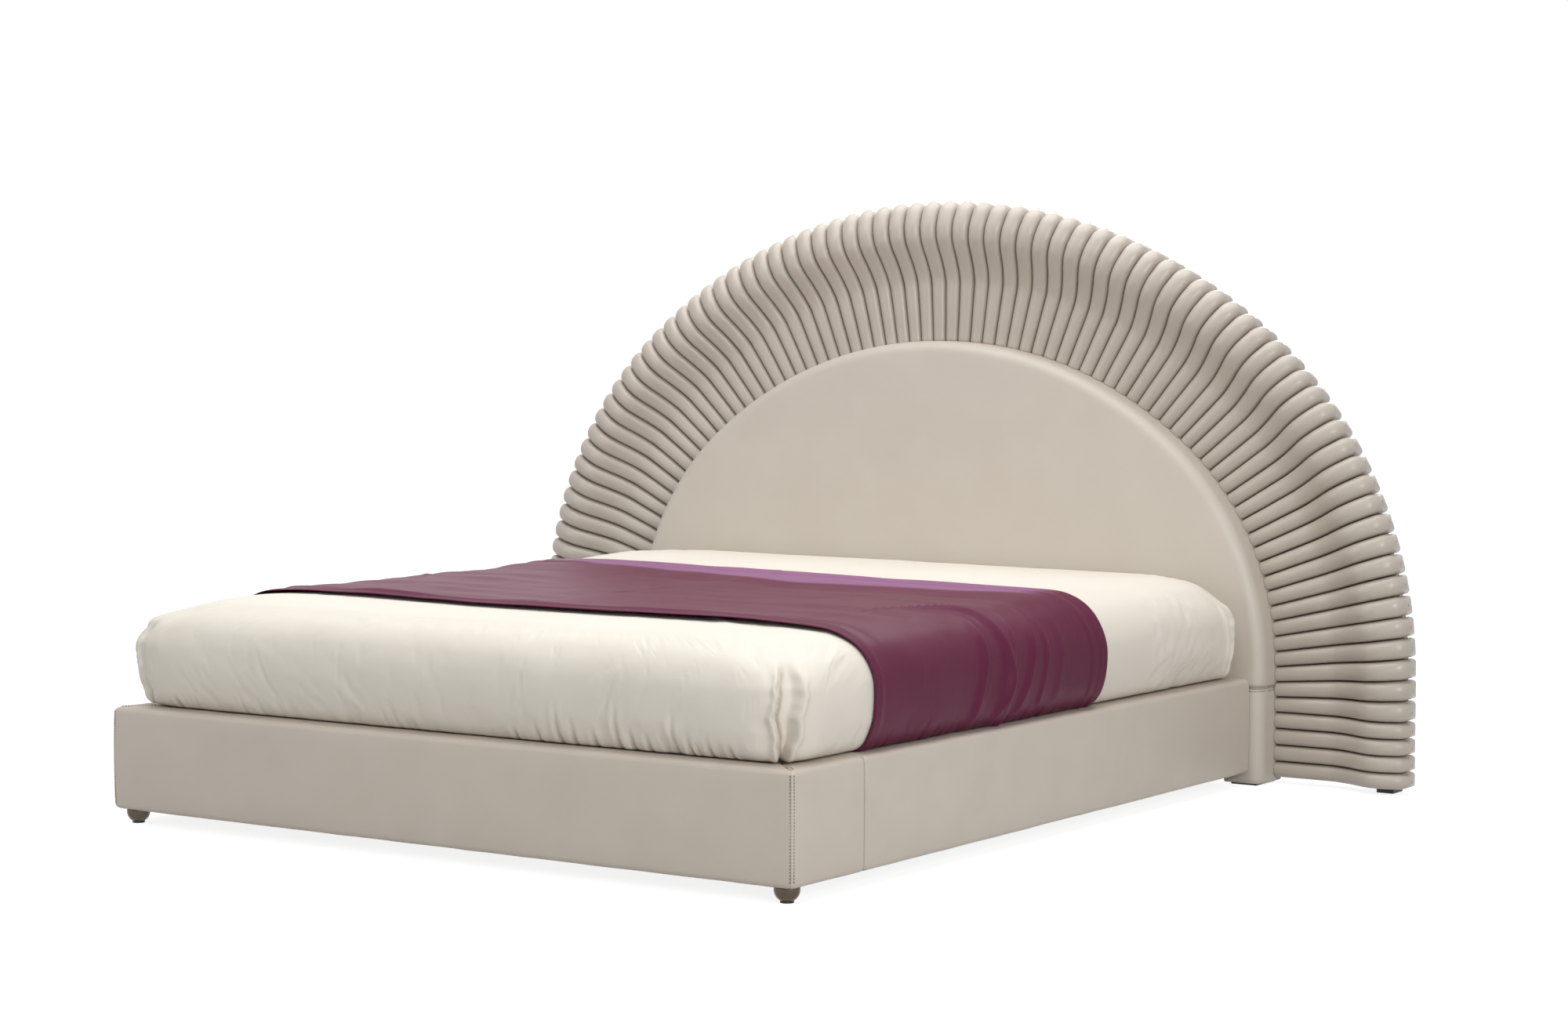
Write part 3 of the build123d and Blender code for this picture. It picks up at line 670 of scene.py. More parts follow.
@dataclass
class RollFan:
    """Padded rolls that fan out round the panel and lie level beside its legs."""

    arch: Arch
    depth: float = 0.050
    hump: float = 0.060  # height of the crest over the depth
    crown_share: float = 0.50  # how far a roll bulges, as a share of its width
    crown_limit: float = 0.7  # and of its depth
    crown_spread: float = 0.10  # how much that differs from roll to roll
    gap: float = 0.0022
    outer_round: float = 0.030
    outer_power: float = 2.1
    inner_round: float = 0.007
    nose: float = 0.60  # height of the tip's middle, as a share of the depth
    tip_width: float = 0.10  # share of its width that a roll keeps at its very tip
    root_size: float = 0.80  # share of its width and height that it keeps at the panel
    back_width: float = 0.97
    back_gap: float = 0.0003
    unevenness: float = 0.0011
    leg_rolls: int = 4
    leg_bottom: float = 0.015
    along: int = 46
    across: int = 15
    places: tuple[float, ...] = (0.0, 0.2, 0.42, 0.5, 0.6, 0.68, 0.75, 0.81, 0.875, 0.93, 1.0)
    rises: tuple[float, ...] = (0.0, 0.0, 0.02, 0.16, 0.47, 0.78, 0.95, 0.97, 0.86, 0.71, 0.53)

    def stations(self) -> np.ndarray:
        """Shares of a roll's length, closer together near its rounded ends.

        Returns:
            The shares, from 0 at the panel to 1 at the tip.
        """
        inner = np.array([0.0, 0.002, 0.006, 0.012, 0.02, 0.03])
        outer = 1 - np.array([0.066, 0.05, 0.036, 0.024, 0.014, 0.007, 0.0025, 0.0])
        middle = np.linspace(0.055, 0.915, self.along - len(inner) - len(outer))
        return np.concatenate([inner, middle, outer])

    def roll(self, low: tuple[Flat, Flat], high: tuple[Flat, Flat], side: int,
             seed: int) -> tuple[list[Point], list[tuple[int, ...]]]:
        """Builds one roll between two channels.

        Args:
            low: Inner and outer end of the lower channel, on the right.
            high: Inner and outer end of the upper channel, on the right.
            side: 1 for the right of the bed, -1 for the left.
            seed: Number of the roll, which sets its small unevenness.

        Returns:
            Its points and faces.
        """
        shares = self.stations()
        rises = smooth_curve(self.places, self.rises, shares)
        points: list[Point] = []
        for share, rise in zip(shares, rises):
            a, b = (np.array(start) + (np.array(end) - np.array(start)) * share for start, end in (low, high))
            middle, across = (a + b) / 2, b - a
            width = float(np.hypot(*across))
            reach = self.arch.roll_length
            tip = rounded_end((1 - share) * reach / self.outer_round, self.outer_power)
            root = self.root_size + (1 - self.root_size) * rounded_end(share * reach / self.inner_round, 2.0)
            half = across / width * (width / 2 - self.gap / 2) * root
            half = half * (self.tip_width + (1 - self.tip_width) * tip)
            full = self.depth + rise * self.hump
            full += self.unevenness * ripple((seed * 3.7, share * 5.0, side * 2.0), 1.0)
            top = full * (self.nose + (1 - self.nose) * tip) * root
            base = full * self.nose * (1 - tip)
            crown = min(self.crown_share * width, (top - base) * self.crown_limit) * tip ** 0.5
            crown *= 1 + self.crown_spread * math.sin(seed * 2.4)
            for t in np.linspace(-1, 1, self.across):
                edge = abs(t)
                bulge = math.sqrt(1 - edge ** 2) if edge < 1 else 0.0
                spot = middle + half * math.copysign(1 - (1 - edge) ** 1.25, t)
                points.append((side * spot[0], BOARD_FACE - (top - crown * (1 - bulge)), spot[1]))
            for t in (self.back_width, -self.back_width):
                spot = middle + half * t
                points.append((side * spot[0], BOARD_FACE - self.back_gap - base, spot[1]))
        return points, capped(len(shares), self.across + 2)

    def leg_channel(self, index: int) -> tuple[Flat, Flat]:
        """Inner and outer end of a level channel beside a leg, by its count up from the floor."""
        height = self.leg_bottom + index * (self.arch.fan_centre - self.leg_bottom) / self.leg_rolls
        return (self.arch.half_width, height), (self.arch.half_width + self.arch.roll_length, height)

    def run(self, name: str, channels: list[tuple[Flat, Flat]], side: int, seed: int) -> None:
        """Builds a run of neighbouring rolls as one piece in place of their CAD node.

        Args:
            name: CAD node that the run stands for.
            channels: Inner and outer end of each channel, from the lowest up.
            side: 1 for the right of the bed, -1 for the left.
            seed: Number of the lowest roll.
        """
        points: list[Point] = []
        faces: list[tuple[int, ...]] = []
        for i, (low, high) in enumerate(zip(channels, channels[1:])):
            some, around = self.roll(low, high, side, seed + i)
            faces += shifted(around, len(points))
            points += some
        made = piece("padded_" + name, points, faces, ROLL_HIDE_WITH_PAINTED_SHADE, "bed_frame", [name])

    def build(self) -> None:
        """Builds every run of rolls on both sides."""
        for side_name, side in SIDES:
            level = [self.leg_channel(i) for i in range(self.leg_rolls + 1)]
            self.run(f"{side_name}_leg_rolls", level, side, 100)
            for stretch in Stretch:
                first, last = stretch.value
                channels = [self.arch.channel(i) for i in range(first, last + 1)]
                self.run(f"{side_name}_{stretch.name.lower()}_rolls", channels, side, first)


@dataclass
class Stitching:
    """Rows of small stitches along seams."""

    pitch: float = 0.0068
    length: float = 0.0047
    thick: float = 0.0009
    points: list = field(default_factory=list)
    faces: list = field(default_factory=list)

    def row(self, path: Sequence[Point], out: Point) -> None:
        """Adds a row of stitches that lie on a path.

        Args:
            path: Points of the seam.
            out: Direction that the seam faces.
        """
        spots = [Vector(p) for p in path]
        gone, due = 0.0, 0.0
        for a, b in zip(spots, spots[1:]):
            span = (b - a).length
            ahead = (b - a) / span
            wide = ahead.cross(Vector(out)).normalized() * self.thick
            lift = Vector(out).normalized() * self.thick * 0.9
            while due < gone + span - self.length * 0.5:
                start = a + ahead * (due - gone)
                end = start + ahead * self.length
                low, high = start.lerp(end, 0.18), start.lerp(end, 0.82)
                ring = [start - wide * 0.4, start + wide * 0.4, end + wide * 0.4, end - wide * 0.4]
                top = [low - wide, low + wide, high + wide, high - wide]
                base = len(self.points)
                self.points += [tuple(p - lift * 0.3) for p in ring] + [tuple(p + lift) for p in top]
                self.faces += [(base + 4, base + 5, base + 6, base + 7), (base, base + 3, base + 2, base + 1)]
                self.faces += shifted(loops_to_faces(2, 4), base)
                due += self.pitch
            gone += span

    def finish(self, name: str, slot: str) -> None:
        """Makes one piece of all the rows."""
        piece(name, self.points, self.faces, SEAM_THREAD, "bed_frame", smooth=False)


@dataclass
class PanelPadding:
    """Smooth padded panel inside the arch, and the padded legs below its seam."""

    arch: Arch
    edge: float = 0.032
    dome: float = 0.004
    dome_reach: float = 0.12
    pinch: float = 0.0028  # how far the seam draws the hide in
    pinch_reach: float = 0.006
    puff: float = 0.0012
    puff_size: float = 0.35
    face_limit: float = 0.005  # the face never stands farther out than this
    leg_bottom: float = 0.006
    outline_gap: float = -0.003
    side_count: int = 96
    seam_half: float = 0.0005
    stitch_rows: Flat = (-0.0055, 0.0062)  # heights of the two rows from the seam

    def __post_init__(self) -> None:
        """Works out the outer face of the padding."""
        self.outer = self.arch.half_width - self.outline_gap

    def panel_rings(self) -> list[Flat]:
        """Inset and depth behind the face of each ring, from the back edge to the middle.

        Returns:
            The pairs.
        """
        rings = [(0.0, BOARD_FACE - PANEL_FACE), (0.0, 0.09), (0.0, 0.06), *quarter_round(self.edge, 10)]
        for inset in (0.07, 0.11, 0.17, 0.25, 0.34, 0.44, 0.54, 0.64, 0.72):
            rings.append((inset, -self.dome * (1 - math.exp(-(inset - self.edge) / self.dome_reach))))
        return rings

    def build_panel(self) -> None:
        """Builds the panel from rings that run round the arch and end at the seam."""
        points: list[Point] = []
        rings = self.panel_rings()
        bottom = SEAM_HEIGHT + self.seam_half
        for inset, deep in rings:
            half = self.arch.half_outline(inset + self.outline_gap, bottom, self.side_count)
            for x, z in half + [(-x, z) for x, z in reversed(half[:-1])]:
                sink = self.pinch * bell(z - bottom, self.pinch_reach)
                puff = self.puff * ripple((x, 0.0, z), self.puff_size) if inset > 0.06 else 0.0
                narrow = 1 - sink * 0.6 / max(abs(x), 0.3)
                points.append((x * narrow, PANEL_FACE + max(deep + sink, -self.face_limit) + puff, z))
        count = 2 * self.side_count - 1
        faces = loops_to_faces(len(rings), count, closed=False)
        last = (len(rings) - 1) * count
        for i in range(self.side_count - 1):
            a, b = last + i, last + i + 1
            c, d = last + count - 1 - i, last + count - 2 - i
            faces.append((a, b, d, c) if b != d else (a, b, c))
        starts = range(0, len(points), count)
        faces.append(tuple([*starts, *(n + count - 1 for n in reversed(starts))]))
        faces.append(tuple(range(count)))
        made = piece("padded_panel", points, faces, PANEL_HIDE, "bed_frame", ["panel_pad"])

    def leg_section(self) -> list[Flat]:
        """Section of a leg's padding: distance in from its outer face, and depth behind the panel's face.

        Returns:
            The points, from the outer back edge to the inner one.
        """
        wide = self.outer - LEG_INNER
        deep = BOARD_FACE - PANEL_FACE
        return [(0.0, deep), (0.0, 0.085), *quarter_round(self.edge, 9), (0.06, 0.0), (0.075, 0.0),
                (0.09, 0.0), (wide - 0.004, 0.0015), (wide, 0.005), (wide, deep)]

    def build_legs(self) -> None:
        """Builds both legs' padding, drawn in where it meets the seam and the glide."""
        section = self.leg_section()
        low = [self.leg_bottom + rise for rise in (0.0, 0.001, 0.004, 0.012)]
        heights = [*low, *np.linspace(0.04, 0.225, 10), 0.238, 0.245, 0.249, 0.2515, 0.2525]
        for side_name, side in SIDES:
            points = []
            for z in heights:
                pull = self.pinch * bell(z - SEAM_HEIGHT, self.pinch_reach) + 0.003 * bell(z - low[0], 0.003)
                for inward, deep in section:
                    x = self.outer - inward - (pull if inward < 0.01 else 0.0)
                    points.append((side * x, PANEL_FACE + deep + (pull if deep < 0.06 else 0.0), z))
            made = piece(f"padded_{side_name}_leg", points, capped(len(heights), len(section)), PANEL_HIDE,
                         "bed_frame", [f"{side_name}_leg_pad"])

    def stitch(self) -> None:
        """Sews the double seam between the panel and the legs, round the edge that shows."""
        rows = Stitching()
        for side in (-1, 1):
            for height in (SEAM_HEIGHT + off for off in self.stitch_rows):
                flank = [(side * (self.outer - 0.0002), PANEL_FACE + deep, height)
                         for deep in (0.11, self.edge + 0.002)]
                bend = [(side * (self.outer - inset), PANEL_FACE + deep, height)
                        for inset, deep in quarter_round(self.edge, 9)[1:]]
                front = [(side * x, PANEL_FACE, height) for x in (self.outer - self.edge, LEG_INNER + 0.004)]
                rows.row(flank, (side, 0, 0))
                rows.row(bend, (side * 0.7, -0.7, 0))
                rows.row(front, (0, -1, 0))
        rows.finish("panel_seam_stitches", "panel_leather")

    def build(self) -> None:
        """Builds the panel, the legs and the seam between them."""
        self.build_panel()
        self.build_legs()
        self.stitch()


@dataclass
class PaddedRail:
    """Upholstered bar of the bed's rim, swept along X or Y with soft edges and drawn-in ends."""

    name: str
    axis: str
    start: float
    end: float
    side: int = 1
    start_mitre: bool = False
    end_mitre: bool = False
    start_pinch: float = 0.010
    end_pinch: float = 0.010
    outer_edge: float = 0.013
    inner_edge: float = 0.008
    crown: float = 0.0016
    section_step: float = 0.022
    loop_step: float = 0.03
    seam_depth: float = 0.0014
    seam_width: float = 0.0011
    uneven: tuple[Flat, ...] = ((0.0007, 0.11), (0.0004, 0.035))  # height and size of two ripples

    def section(self) -> list[tuple[float, float, float, float]]:
        """Section of the bar as distance in from its outer face, height, and the outward direction.

        Returns:
            The points, round the bar from its outer lower edge.
        """
        wide = HALF_WIDTH - RIM_INNER
        corners = ((self.outer_edge, BASE_BOTTOM, 180), (self.inner_edge, BASE_BOTTOM, 270),
                   (self.inner_edge, BASE_TOP, 0), (self.outer_edge, BASE_TOP, 90))
        points = []
        for radius, height, first in corners:
            inward = radius if first in (90, 180) else wide - radius
            centre = height + (radius if height == BASE_BOTTOM else -radius)
            for step in range(6):
                angle = math.radians(first + 18 * step)
                out, up = math.cos(angle), math.sin(angle)
                points.append((inward + radius * out, centre + radius * up, out, up))
        filled = []
        for here, after in zip(points, points[1:] + points[:1]):
            filled.append(here)
            extra = int(math.hypot(after[0] - here[0], after[1] - here[1]) / self.section_step)
            for step in range(1, extra + 1):
                t = step / (extra + 1)
                swell = self.crown * math.sin(math.pi * t) ** 0.6
                out, up = (here[2] + after[2]) / 2, (here[3] + after[3]) / 2
                filled.append((here[0] + (after[0] - here[0]) * t + out * swell,
                               here[1] + (after[1] - here[1]) * t + up * swell, out, up))
        return filled

    def distances(self) -> list[float]:
        """Distances from the start at which the bar's loops stand, closer together near its ends.

        Returns:
            The distances, rising.
        """
        span = self.end - self.start
        near = [0.0, 0.0008, 0.002, 0.0032, 0.0042, 0.005, 0.0058, 0.0068, 0.0085, 0.011, 0.016, 0.026]
        count = max(4, int(span / self.loop_step))
        middle = [0.045 + (span - 0.09) * i / count for i in range(count + 1)]
        return near + middle + [span - d for d in reversed(near)]

    def pull(self, distance: float) -> float:
        """How far the hide is drawn in at a distance from the start: at the ends and at sewn corners.

        Args:
            distance: Distance from the start.

        Returns:
            The depth in metres.
        """
        total = 0.0
        span = self.end - self.start
        for away, depth, mitred in ((distance, self.start_pinch, self.start_mitre),
                                    (span - distance, self.end_pinch, self.end_mitre)):
            if away < depth:
                total += depth * (1 - math.sqrt(1 - (1 - away / depth) ** 2))
            if mitred:
                total += self.seam_depth * bell(away - CORNER_SEAM, self.seam_width)
        return total

    def build(self) -> None:
        """Sweeps the section along the bar."""
        section = self.section()
        distances = self.distances()
        (large, large_size), (small, small_size) = self.uneven
        points = []
        for distance in distances:
            pull = self.pull(distance)
            share = distance / (self.end - self.start)
            for inward, height, out, up in section:
                run = self.start + distance
                run += inward * (1 - share) if self.start_mitre else 0.0
                run -= inward * share if self.end_mitre else 0.0
                spot = (run, inward, height) if self.axis == "X" else (inward, run, height)
                wave = large * ripple(spot, large_size, self.side) + small * ripple(spot, small_size, 5.0)
                inset = inward + out * (wave - pull)
                rise = height + up * (wave - pull)
                points.append((run, FOOT + inset, rise) if self.axis == "X"
                              else (self.side * (HALF_WIDTH - inset), run, rise))
        made = piece("padded_" + self.name, points, capped(len(distances), len(section)), RAIL_HIDE,
                     "bed_frame", [self.name + "_cover"])


@dataclass
class BedBase:
    """Padded rim of the bed with its corner seams, joints, steelwork and feet."""

    return_end: float = FOOT + 0.276
    rail_start: float = FOOT + 0.2766
    rail_end: float = PANEL_FACE - 0.0006
    mitre_pinch: float = 0.0045
    top_seam: Flat = (0.014, 0.070)  # where the seam over the top starts and ends, from the corner
    top_seam_half: float = 0.0038
    ball_inset: float = 0.040
    ball_radius: float = 0.0280
    ball_steps: int = 48

    def rails(self) -> list[PaddedRail]:
        """The bars of the rim.

        Returns:
            The footboard, then the return and the rail of each side.
        """
        bars = [PaddedRail("footboard", "X", -HALF_WIDTH, HALF_WIDTH, start_mitre=True, end_mitre=True,
                           start_pinch=self.mitre_pinch, end_pinch=self.mitre_pinch)]
        for side_name, side in SIDES:
            bars.append(PaddedRail(f"{side_name}_return", "Y", FOOT, self.return_end, side, start_mitre=True,
                                   start_pinch=self.mitre_pinch, end_pinch=0.013))
            bars.append(PaddedRail(f"{side_name}_rail", "Y", self.rail_start, self.rail_end, side,
                                   start_pinch=0.008, end_pinch=0.007))
        return bars

    def stitch(self) -> None:
        """Sews the double seam down each corner of the footboard and over its top."""
        rows = Stitching()
        heights = (BASE_BOTTOM + 0.014, BASE_TOP - 0.012)
        for side in (-1, 1):
            corner = side * HALF_WIDTH
            rows.row([(corner - side * CORNER_SEAM, FOOT - 0.0006, z) for z in heights], (0, -1, 0))
            rows.row([(corner + side * 0.0006, FOOT + CORNER_SEAM, z) for z in heights], (side, 0, 0))
            for shift in (-self.top_seam_half, self.top_seam_half):
                rows.row([(corner - side * (d - shift), FOOT + d + shift, BASE_TOP + 0.0008)
                          for d in self.top_seam], (0, 0, 1))
        rows.finish("corner_seam_stitches", "rail_leather")

    def ball_foot(self, side_name: str, side: int) -> None:
        """Turns one ball foot with its neck ring on a lathe profile.

        Args:
            side_name: left or right.
            side: -1 or 1.
        """
        r = self.ball_radius
        round_part = [(r * math.cos(a), r + r * math.sin(a)) for a in map(math.radians, range(-52, 18, 5))]
        profile = [(0.0148, 0.005), *round_part, (0.0250, 0.0336), (0.0235, 0.034)]
        turns = [2 * math.pi * i / self.ball_steps for i in range(self.ball_steps)]
        x, y = side * (HALF_WIDTH - self.ball_inset), FOOT + self.ball_inset
        points = [(x + radius * math.cos(turn), y + radius * math.sin(turn), z)
                  for radius, z in profile for turn in turns]
        piece(f"polished_{side_name}_ball_foot", points, capped(len(profile), self.ball_steps), BLACK_NICKEL,
              "bed_frame", [f"{side_name}_ball_foot"])

    def build(self) -> None:
        """Builds the rim and dresses what stays as CAD made it."""
        for bar in self.rails():
            bar.build()
        self.stitch()
        for side_name, side in SIDES:
            self.ball_foot(side_name, side)
            dress([f"{side_name}_return_board", f"{side_name}_rail_board"], PINE_Y)
        dress(["footboard_board"], PINE_X)
        dress(["left_ledge", "right_ledge", "foot_ledge", "head_ledge", "centre_beam", "beam_hangers",
               "centre_legs", "joint_plates", "head_brackets"], POWDER_STEEL)
        dress(["frame_bolts", "foot_studs"], ZINC_STEEL)
        dress(["ball_glides", "centre_leg_feet"], BLACK_NYLON)


@dataclass
class HeadboardCarcass:
    """Boards, posts, lining and feet behind the padding of the headboard.

    The boards stop a little inside the rolls' rounded tips, so that the tips stand free all round, and
    the rolls' hide is wrapped round their edge. The lining is tacked on behind.
    """

    arch: Arch
    reach: float = 0.348
    wrapped_edge: float = 0.004
    lining_edge: float = 0.0007
    leg_bottom: float = 0.015
    outline_count: int = 150
    lining_back: float = 1.1325

    def arch_outline(self, inset: float) -> list[Flat]:
        """Outline of the arched board, drawn in by an inset."""
        half = self.arch.half_outline(inset - self.reach, SEAM_HEIGHT + inset, self.outline_count)
        return half + [(-x, z) for x, z in reversed(half[:-1])]

    def leg_outline(self, inset: float, side: int) -> list[Flat]:
        """Outline of the board behind one leg, drawn in by an inset.

        Args:
            inset: How far inside the board's edge it runs.
            side: 1 for the right of the bed, -1 for the left.

        Returns:
            The four corners.
        """
        near, far = LEG_INNER + inset, self.arch.half_width + self.reach - inset
        low, high = self.leg_bottom + inset, SEAM_HEIGHT - inset
        return [(side * near, low), (side * far, low), (side * far, high), (side * near, high)]

    def plates(self, name: str, nodes: list[str], outlines: list[Callable[[float], list[Flat]]],
               depths: Flat, edge: float, finish: Finish, slot: str) -> None:
        """Builds flat plates with softened edges as one piece.

        Args:
            name: Name of the piece.
            nodes: CAD nodes that it stands for.
            outlines: For each plate its outline at an inset.
            depths: Front and back of the plates, along Y.
            edge: Radius of the softened edge.
            finish: Finish of the piece.
            slot: Material slot of the record, which is not used.
        """
        front, back = depths
        soft = edge * 0.3
        rings = ((edge, front), (soft, front + soft), (0.0, front + edge),
                 (0.0, back - edge), (soft, back - soft), (edge, back))
        points: list[Point] = []
        faces: list[tuple[int, ...]] = []
        for outline in outlines:
            faces += shifted(capped(len(rings), len(outline(0.0))), len(points))
            points += [(x, y, z) for inset, y in rings for x, z in outline(inset)]
        piece(name, points, faces, finish, "bed_frame", nodes, smooth=False)

    def build(self) -> None:
        """Builds the wrapped boards and their lining, and dresses the nodes of the carcass."""
        legs = [lambda inset, side=side: self.leg_outline(inset, side) for _, side in SIDES]
        hide = ((BOARD_FACE, BOARD_BACK), self.wrapped_edge, ROLL_HIDE_WITH_PAINTED_SHADE, "roll_leather")
        lining = ((BOARD_BACK, self.lining_back), self.lining_edge, LINING, "backing_fabric")
        self.plates("wrapped_board", ["headboard_board"], [self.arch_outline], *hide)
        for (side_name, _), leg in zip(SIDES, legs):
            self.plates(f"wrapped_{side_name}_leg", [f"{side_name}_leg_board"], [leg], *hide)
        self.plates("back_lining", ["back_cover"], [self.arch_outline], *lining)
        self.plates("leg_linings", ["leg_back_covers"], legs, *lining)
        dress(["panel_core", "head_rail"], PINE_X)
        dress(["left_leg_post", "right_leg_post"], PINE_Y)
        dress(["leg_glides", "outer_feet"], BLACK_NYLON)


@dataclass
class SlattedBase:
    """Loose frame of bars with two rows of bowed slats in plastic holders."""

    def build(self) -> None:
        """Dresses the nodes of the slatted base."""
        dress(["slat_side_bars"], PINE_Y)
        dress(["slat_end_bars"], PINE_X)
        dress(["left_slats", "right_slats"], BEECH_PLY)
        dress(["left_slat_holders", "right_slat_holders"], HOLDER_PLASTIC)


@dataclass(frozen=True)
class Pleat:
    """Folded corner of the duvet: a lip over a deep gap, then a hollow that ends in a ridge.

    The folds' heights are shares of the depth, and their places lie past the gap's line.
    """

    depth: float
    start: float  # height where the pleat sets in
    gap_width: float
    shift: float = 0.0
    end: float = 0.452
    lip: Fold = (0.45, -0.0085, 0.0070)
    ridge_height: float = 0.42
    inner_height: float = -0.26
    hollow_depth: float = 0.52
    levels: tuple[float, ...] = (0.26, 0.30, 0.36, 0.44, 0.48)
    reaches: tuple[float, ...] = (0.010, 0.020, 0.046, 0.052, 0.036)  # place of the ridge at each level

    def line(self, height: float) -> float:
        """Distance of the gap's line from the corner's middle, which sways on its way up."""
        sway = 0.0022 * math.sin(height * 95) + 0.0012 * math.sin(height * 210)
        return -0.010 - 0.015 * bell(height - 0.385, 0.06) + sway + self.shift

    def push(self, along: float, height: float) -> float:
        """How far the pleat stands out, or in where it is negative.

        Args:
            along: Distance from the corner's middle, rising towards the side of the bed.
            height: Height above the floor.

        Returns:
            Distance along the outward direction.
        """
        past = along - self.line(height)
        reach = float(smooth_curve(self.levels, self.reaches, np.array([height]))[0])
        inner = self.inner_height * (1 - ramp(height, 0.33, 0.05))
        folds = (self.lip, (-1.0, 0.0, self.gap_width), (self.ridge_height, reach, 0.010),
                 (inner, reach * 0.45, 0.006))
        total = sum(share * bell(past - place, width) for share, place, width in folds)
        total -= self.hollow_depth * smooth_step(past / 0.006) * (1 - ramp(past, reach * 0.5, reach * 0.5))
        return self.depth * total * ramp(height, self.start, 0.015) * (1 - ramp(height, self.end, 0.050))


@dataclass
class BeddingForm:
    """Outer form of the made-up bedding: a bulging cushion with pleated corners.

    Its corners are numbered from 0 at the foot right over the head to 3 at the foot left.
    """

    foot_tuck: float = FOOT + 0.0873
    head_tuck: float = 0.9668
    half_tuck: float = 0.896
    head_share: float = 0.20  # share of the bulge at the head, where the panel holds it back
    heights: tuple[float, ...] = (0.262, 0.274, 0.2815, 0.2850, 0.2925, 0.307, 0.328, 0.356, 0.396, 0.434,
                                  0.466, 0.491, 0.509, 0.522, 0.531)
    bulges: tuple[float, ...] = (0.0, 0.0, 0.012, 0.033, 0.046, 0.058, 0.068, 0.077, 0.081, 0.079, 0.068,
                                 0.048, 0.024, -0.006, -0.036)
    radii: tuple[float, ...] = (0.070, 0.070, 0.072, 0.076, 0.084, 0.098, 0.114, 0.126, 0.132, 0.136, 0.146,
                                0.165, 0.190, 0.215, 0.240)
    top_insets: tuple[float, ...] = (0.065, 0.10, 0.14, 0.18, 0.23, 0.28, 0.34, 0.41, 0.49, 0.57, 0.66,
                                     0.75, 0.82)
    top: float = 0.5400
    throw_rise: float = 0.011
    head_rise: float = 0.012
    ring_step: float = 0.007
    side_counts: tuple[int, ...] = (190, 90, 110, 330)
    corner_count: int = 84
    foot_pleat: Pleat = Pleat(0.034, 0.258, 0.0040)
    head_pleat: Pleat = Pleat(0.018, 0.283, 0.006, shift=0.072)
    tucks: tuple[Flat, ...] = ((-0.90, 0.05), (-0.80, 0.04), (0.22, 0.035), (0.285, 0.05), (0.345, 0.11),
                               (0.385, 0.07), (0.44, 0.045), (0.505, 0.13), (0.54, 0.06), (0.585, 0.045),
                               (0.655, 0.11), (0.695, 0.06), (0.745, 0.05), (0.80, 0.035))
    tuck_depth: float = 0.0095
    gather_height: float = 0.0055
    valley_depth: float = 0.0075
    drag_height: float = 0.004
    waves: Flat = (0.0035, 0.0016)
    sag_height: float = 0.0030
    ear: Fold = (0.030, 0.490, 0.015)  # corner of cloth that stands out at the foot left
    dent: Fold = (0.015, 0.345, 0.075)  # hollow below it

    def side_line(self) -> list[Point]:
        """Bulge, height and corner radius of each ring from the tuck up to the top's edge.

        Returns:
            The rings, from the lowest up.
        """
        known = np.array([self.bulges, self.heights, self.radii])
        steps = np.hypot(np.diff(known[0]), np.diff(known[1]))
        places = np.concatenate([[0], np.cumsum(steps)])
        at = np.linspace(0, places[-1], int(places[-1] / self.ring_step))
        return list(zip(*[smooth_curve(places, row, at) for row in known]))

    def profile(self) -> list[Point]:
        """Bulge, height and corner radius of each ring, from the tuck up to the middle of the top.

        Returns:
            The rings, from the lowest up and on to the middle.
        """
        rings = self.side_line()
        edge = self.heights[-1]
        for inset in self.top_insets:
            share = 1 - math.exp(-(inset + self.bulges[-1]) / 0.10)
            rings.append((-inset, edge + (self.top - edge) * share, self.radii[-1]))
        return rings

    def ring(self, bulge: float, radius: float) -> list[tuple[float, float, float, float, int, float]]:
        """One ring of the form.

        Args:
            bulge: How far it stands out beyond the tuck.
            radius: Radius of its corners.

        Returns:
            For each point its place (x, y), its outward direction, the number of its nearest corner and
            the distance from that corner's middle along the ring.
        """
        half = self.half_tuck + bulge
        head = self.head_tuck + (bulge * self.head_share if bulge > 0 else bulge)
        radius = max(0.02, min(radius, half * 0.8))
        quarter = math.radians(45) * radius
        points = []
        corners = rounded_corners((-half, self.foot_tuck - bulge), (half, head), radius)
        for index, (cx, cy, first) in enumerate(corners):
            for step in range(self.corner_count):
                turn = 90 * step / (self.corner_count - 1)
                angle = math.radians(first + turn)
                ox, oy = math.cos(angle), math.sin(angle)
                points.append((cx + radius * ox, cy + radius * oy, ox, oy, index,
                               math.radians(turn - 45) * radius))
            after = (index + 1) % 4
            angle = math.radians(first + 90)
            ox, oy = math.cos(angle), math.sin(angle)
            start = np.array([cx + radius * ox, cy + radius * oy])
            end = np.array([corners[after][0] + radius * ox, corners[after][1] + radius * oy])
            span = float(np.hypot(*(end - start)))
            for step in range(1, self.side_counts[index]):
                t = step / self.side_counts[index]
                t = 0.45 * t + 0.55 * (0.5 - 0.5 * math.cos(math.pi * t))  # closer together near corners
                x, y = start + (end - start) * t
                near = (index, quarter + span * t) if t < 0.5 else (after, -(quarter + span * (1 - t)))
                points.append((x, y, ox, oy, *near))
        return points

    def gathers(self, x: float, z: float) -> float:
        """Creases that run up from the tuck at the foot, each at its own place and to its own height.

        Args:
            x: Place across the bed.
            z: Height above the floor.

        Returns:
            Distance along the outward direction.
        """
        total = 0.0
        for place, reach in self.tucks:
            off = x - place - 0.12 * (z - 0.28)
            if abs(off) < 0.03:
                crease = 0.4 * bell(abs(off) - 0.013, 0.006) - bell(off, 0.0055)
                total += crease * (1 - ramp(z, 0.287, reach))
        return self.tuck_depth * total * ramp(z, 0.268, 0.012)

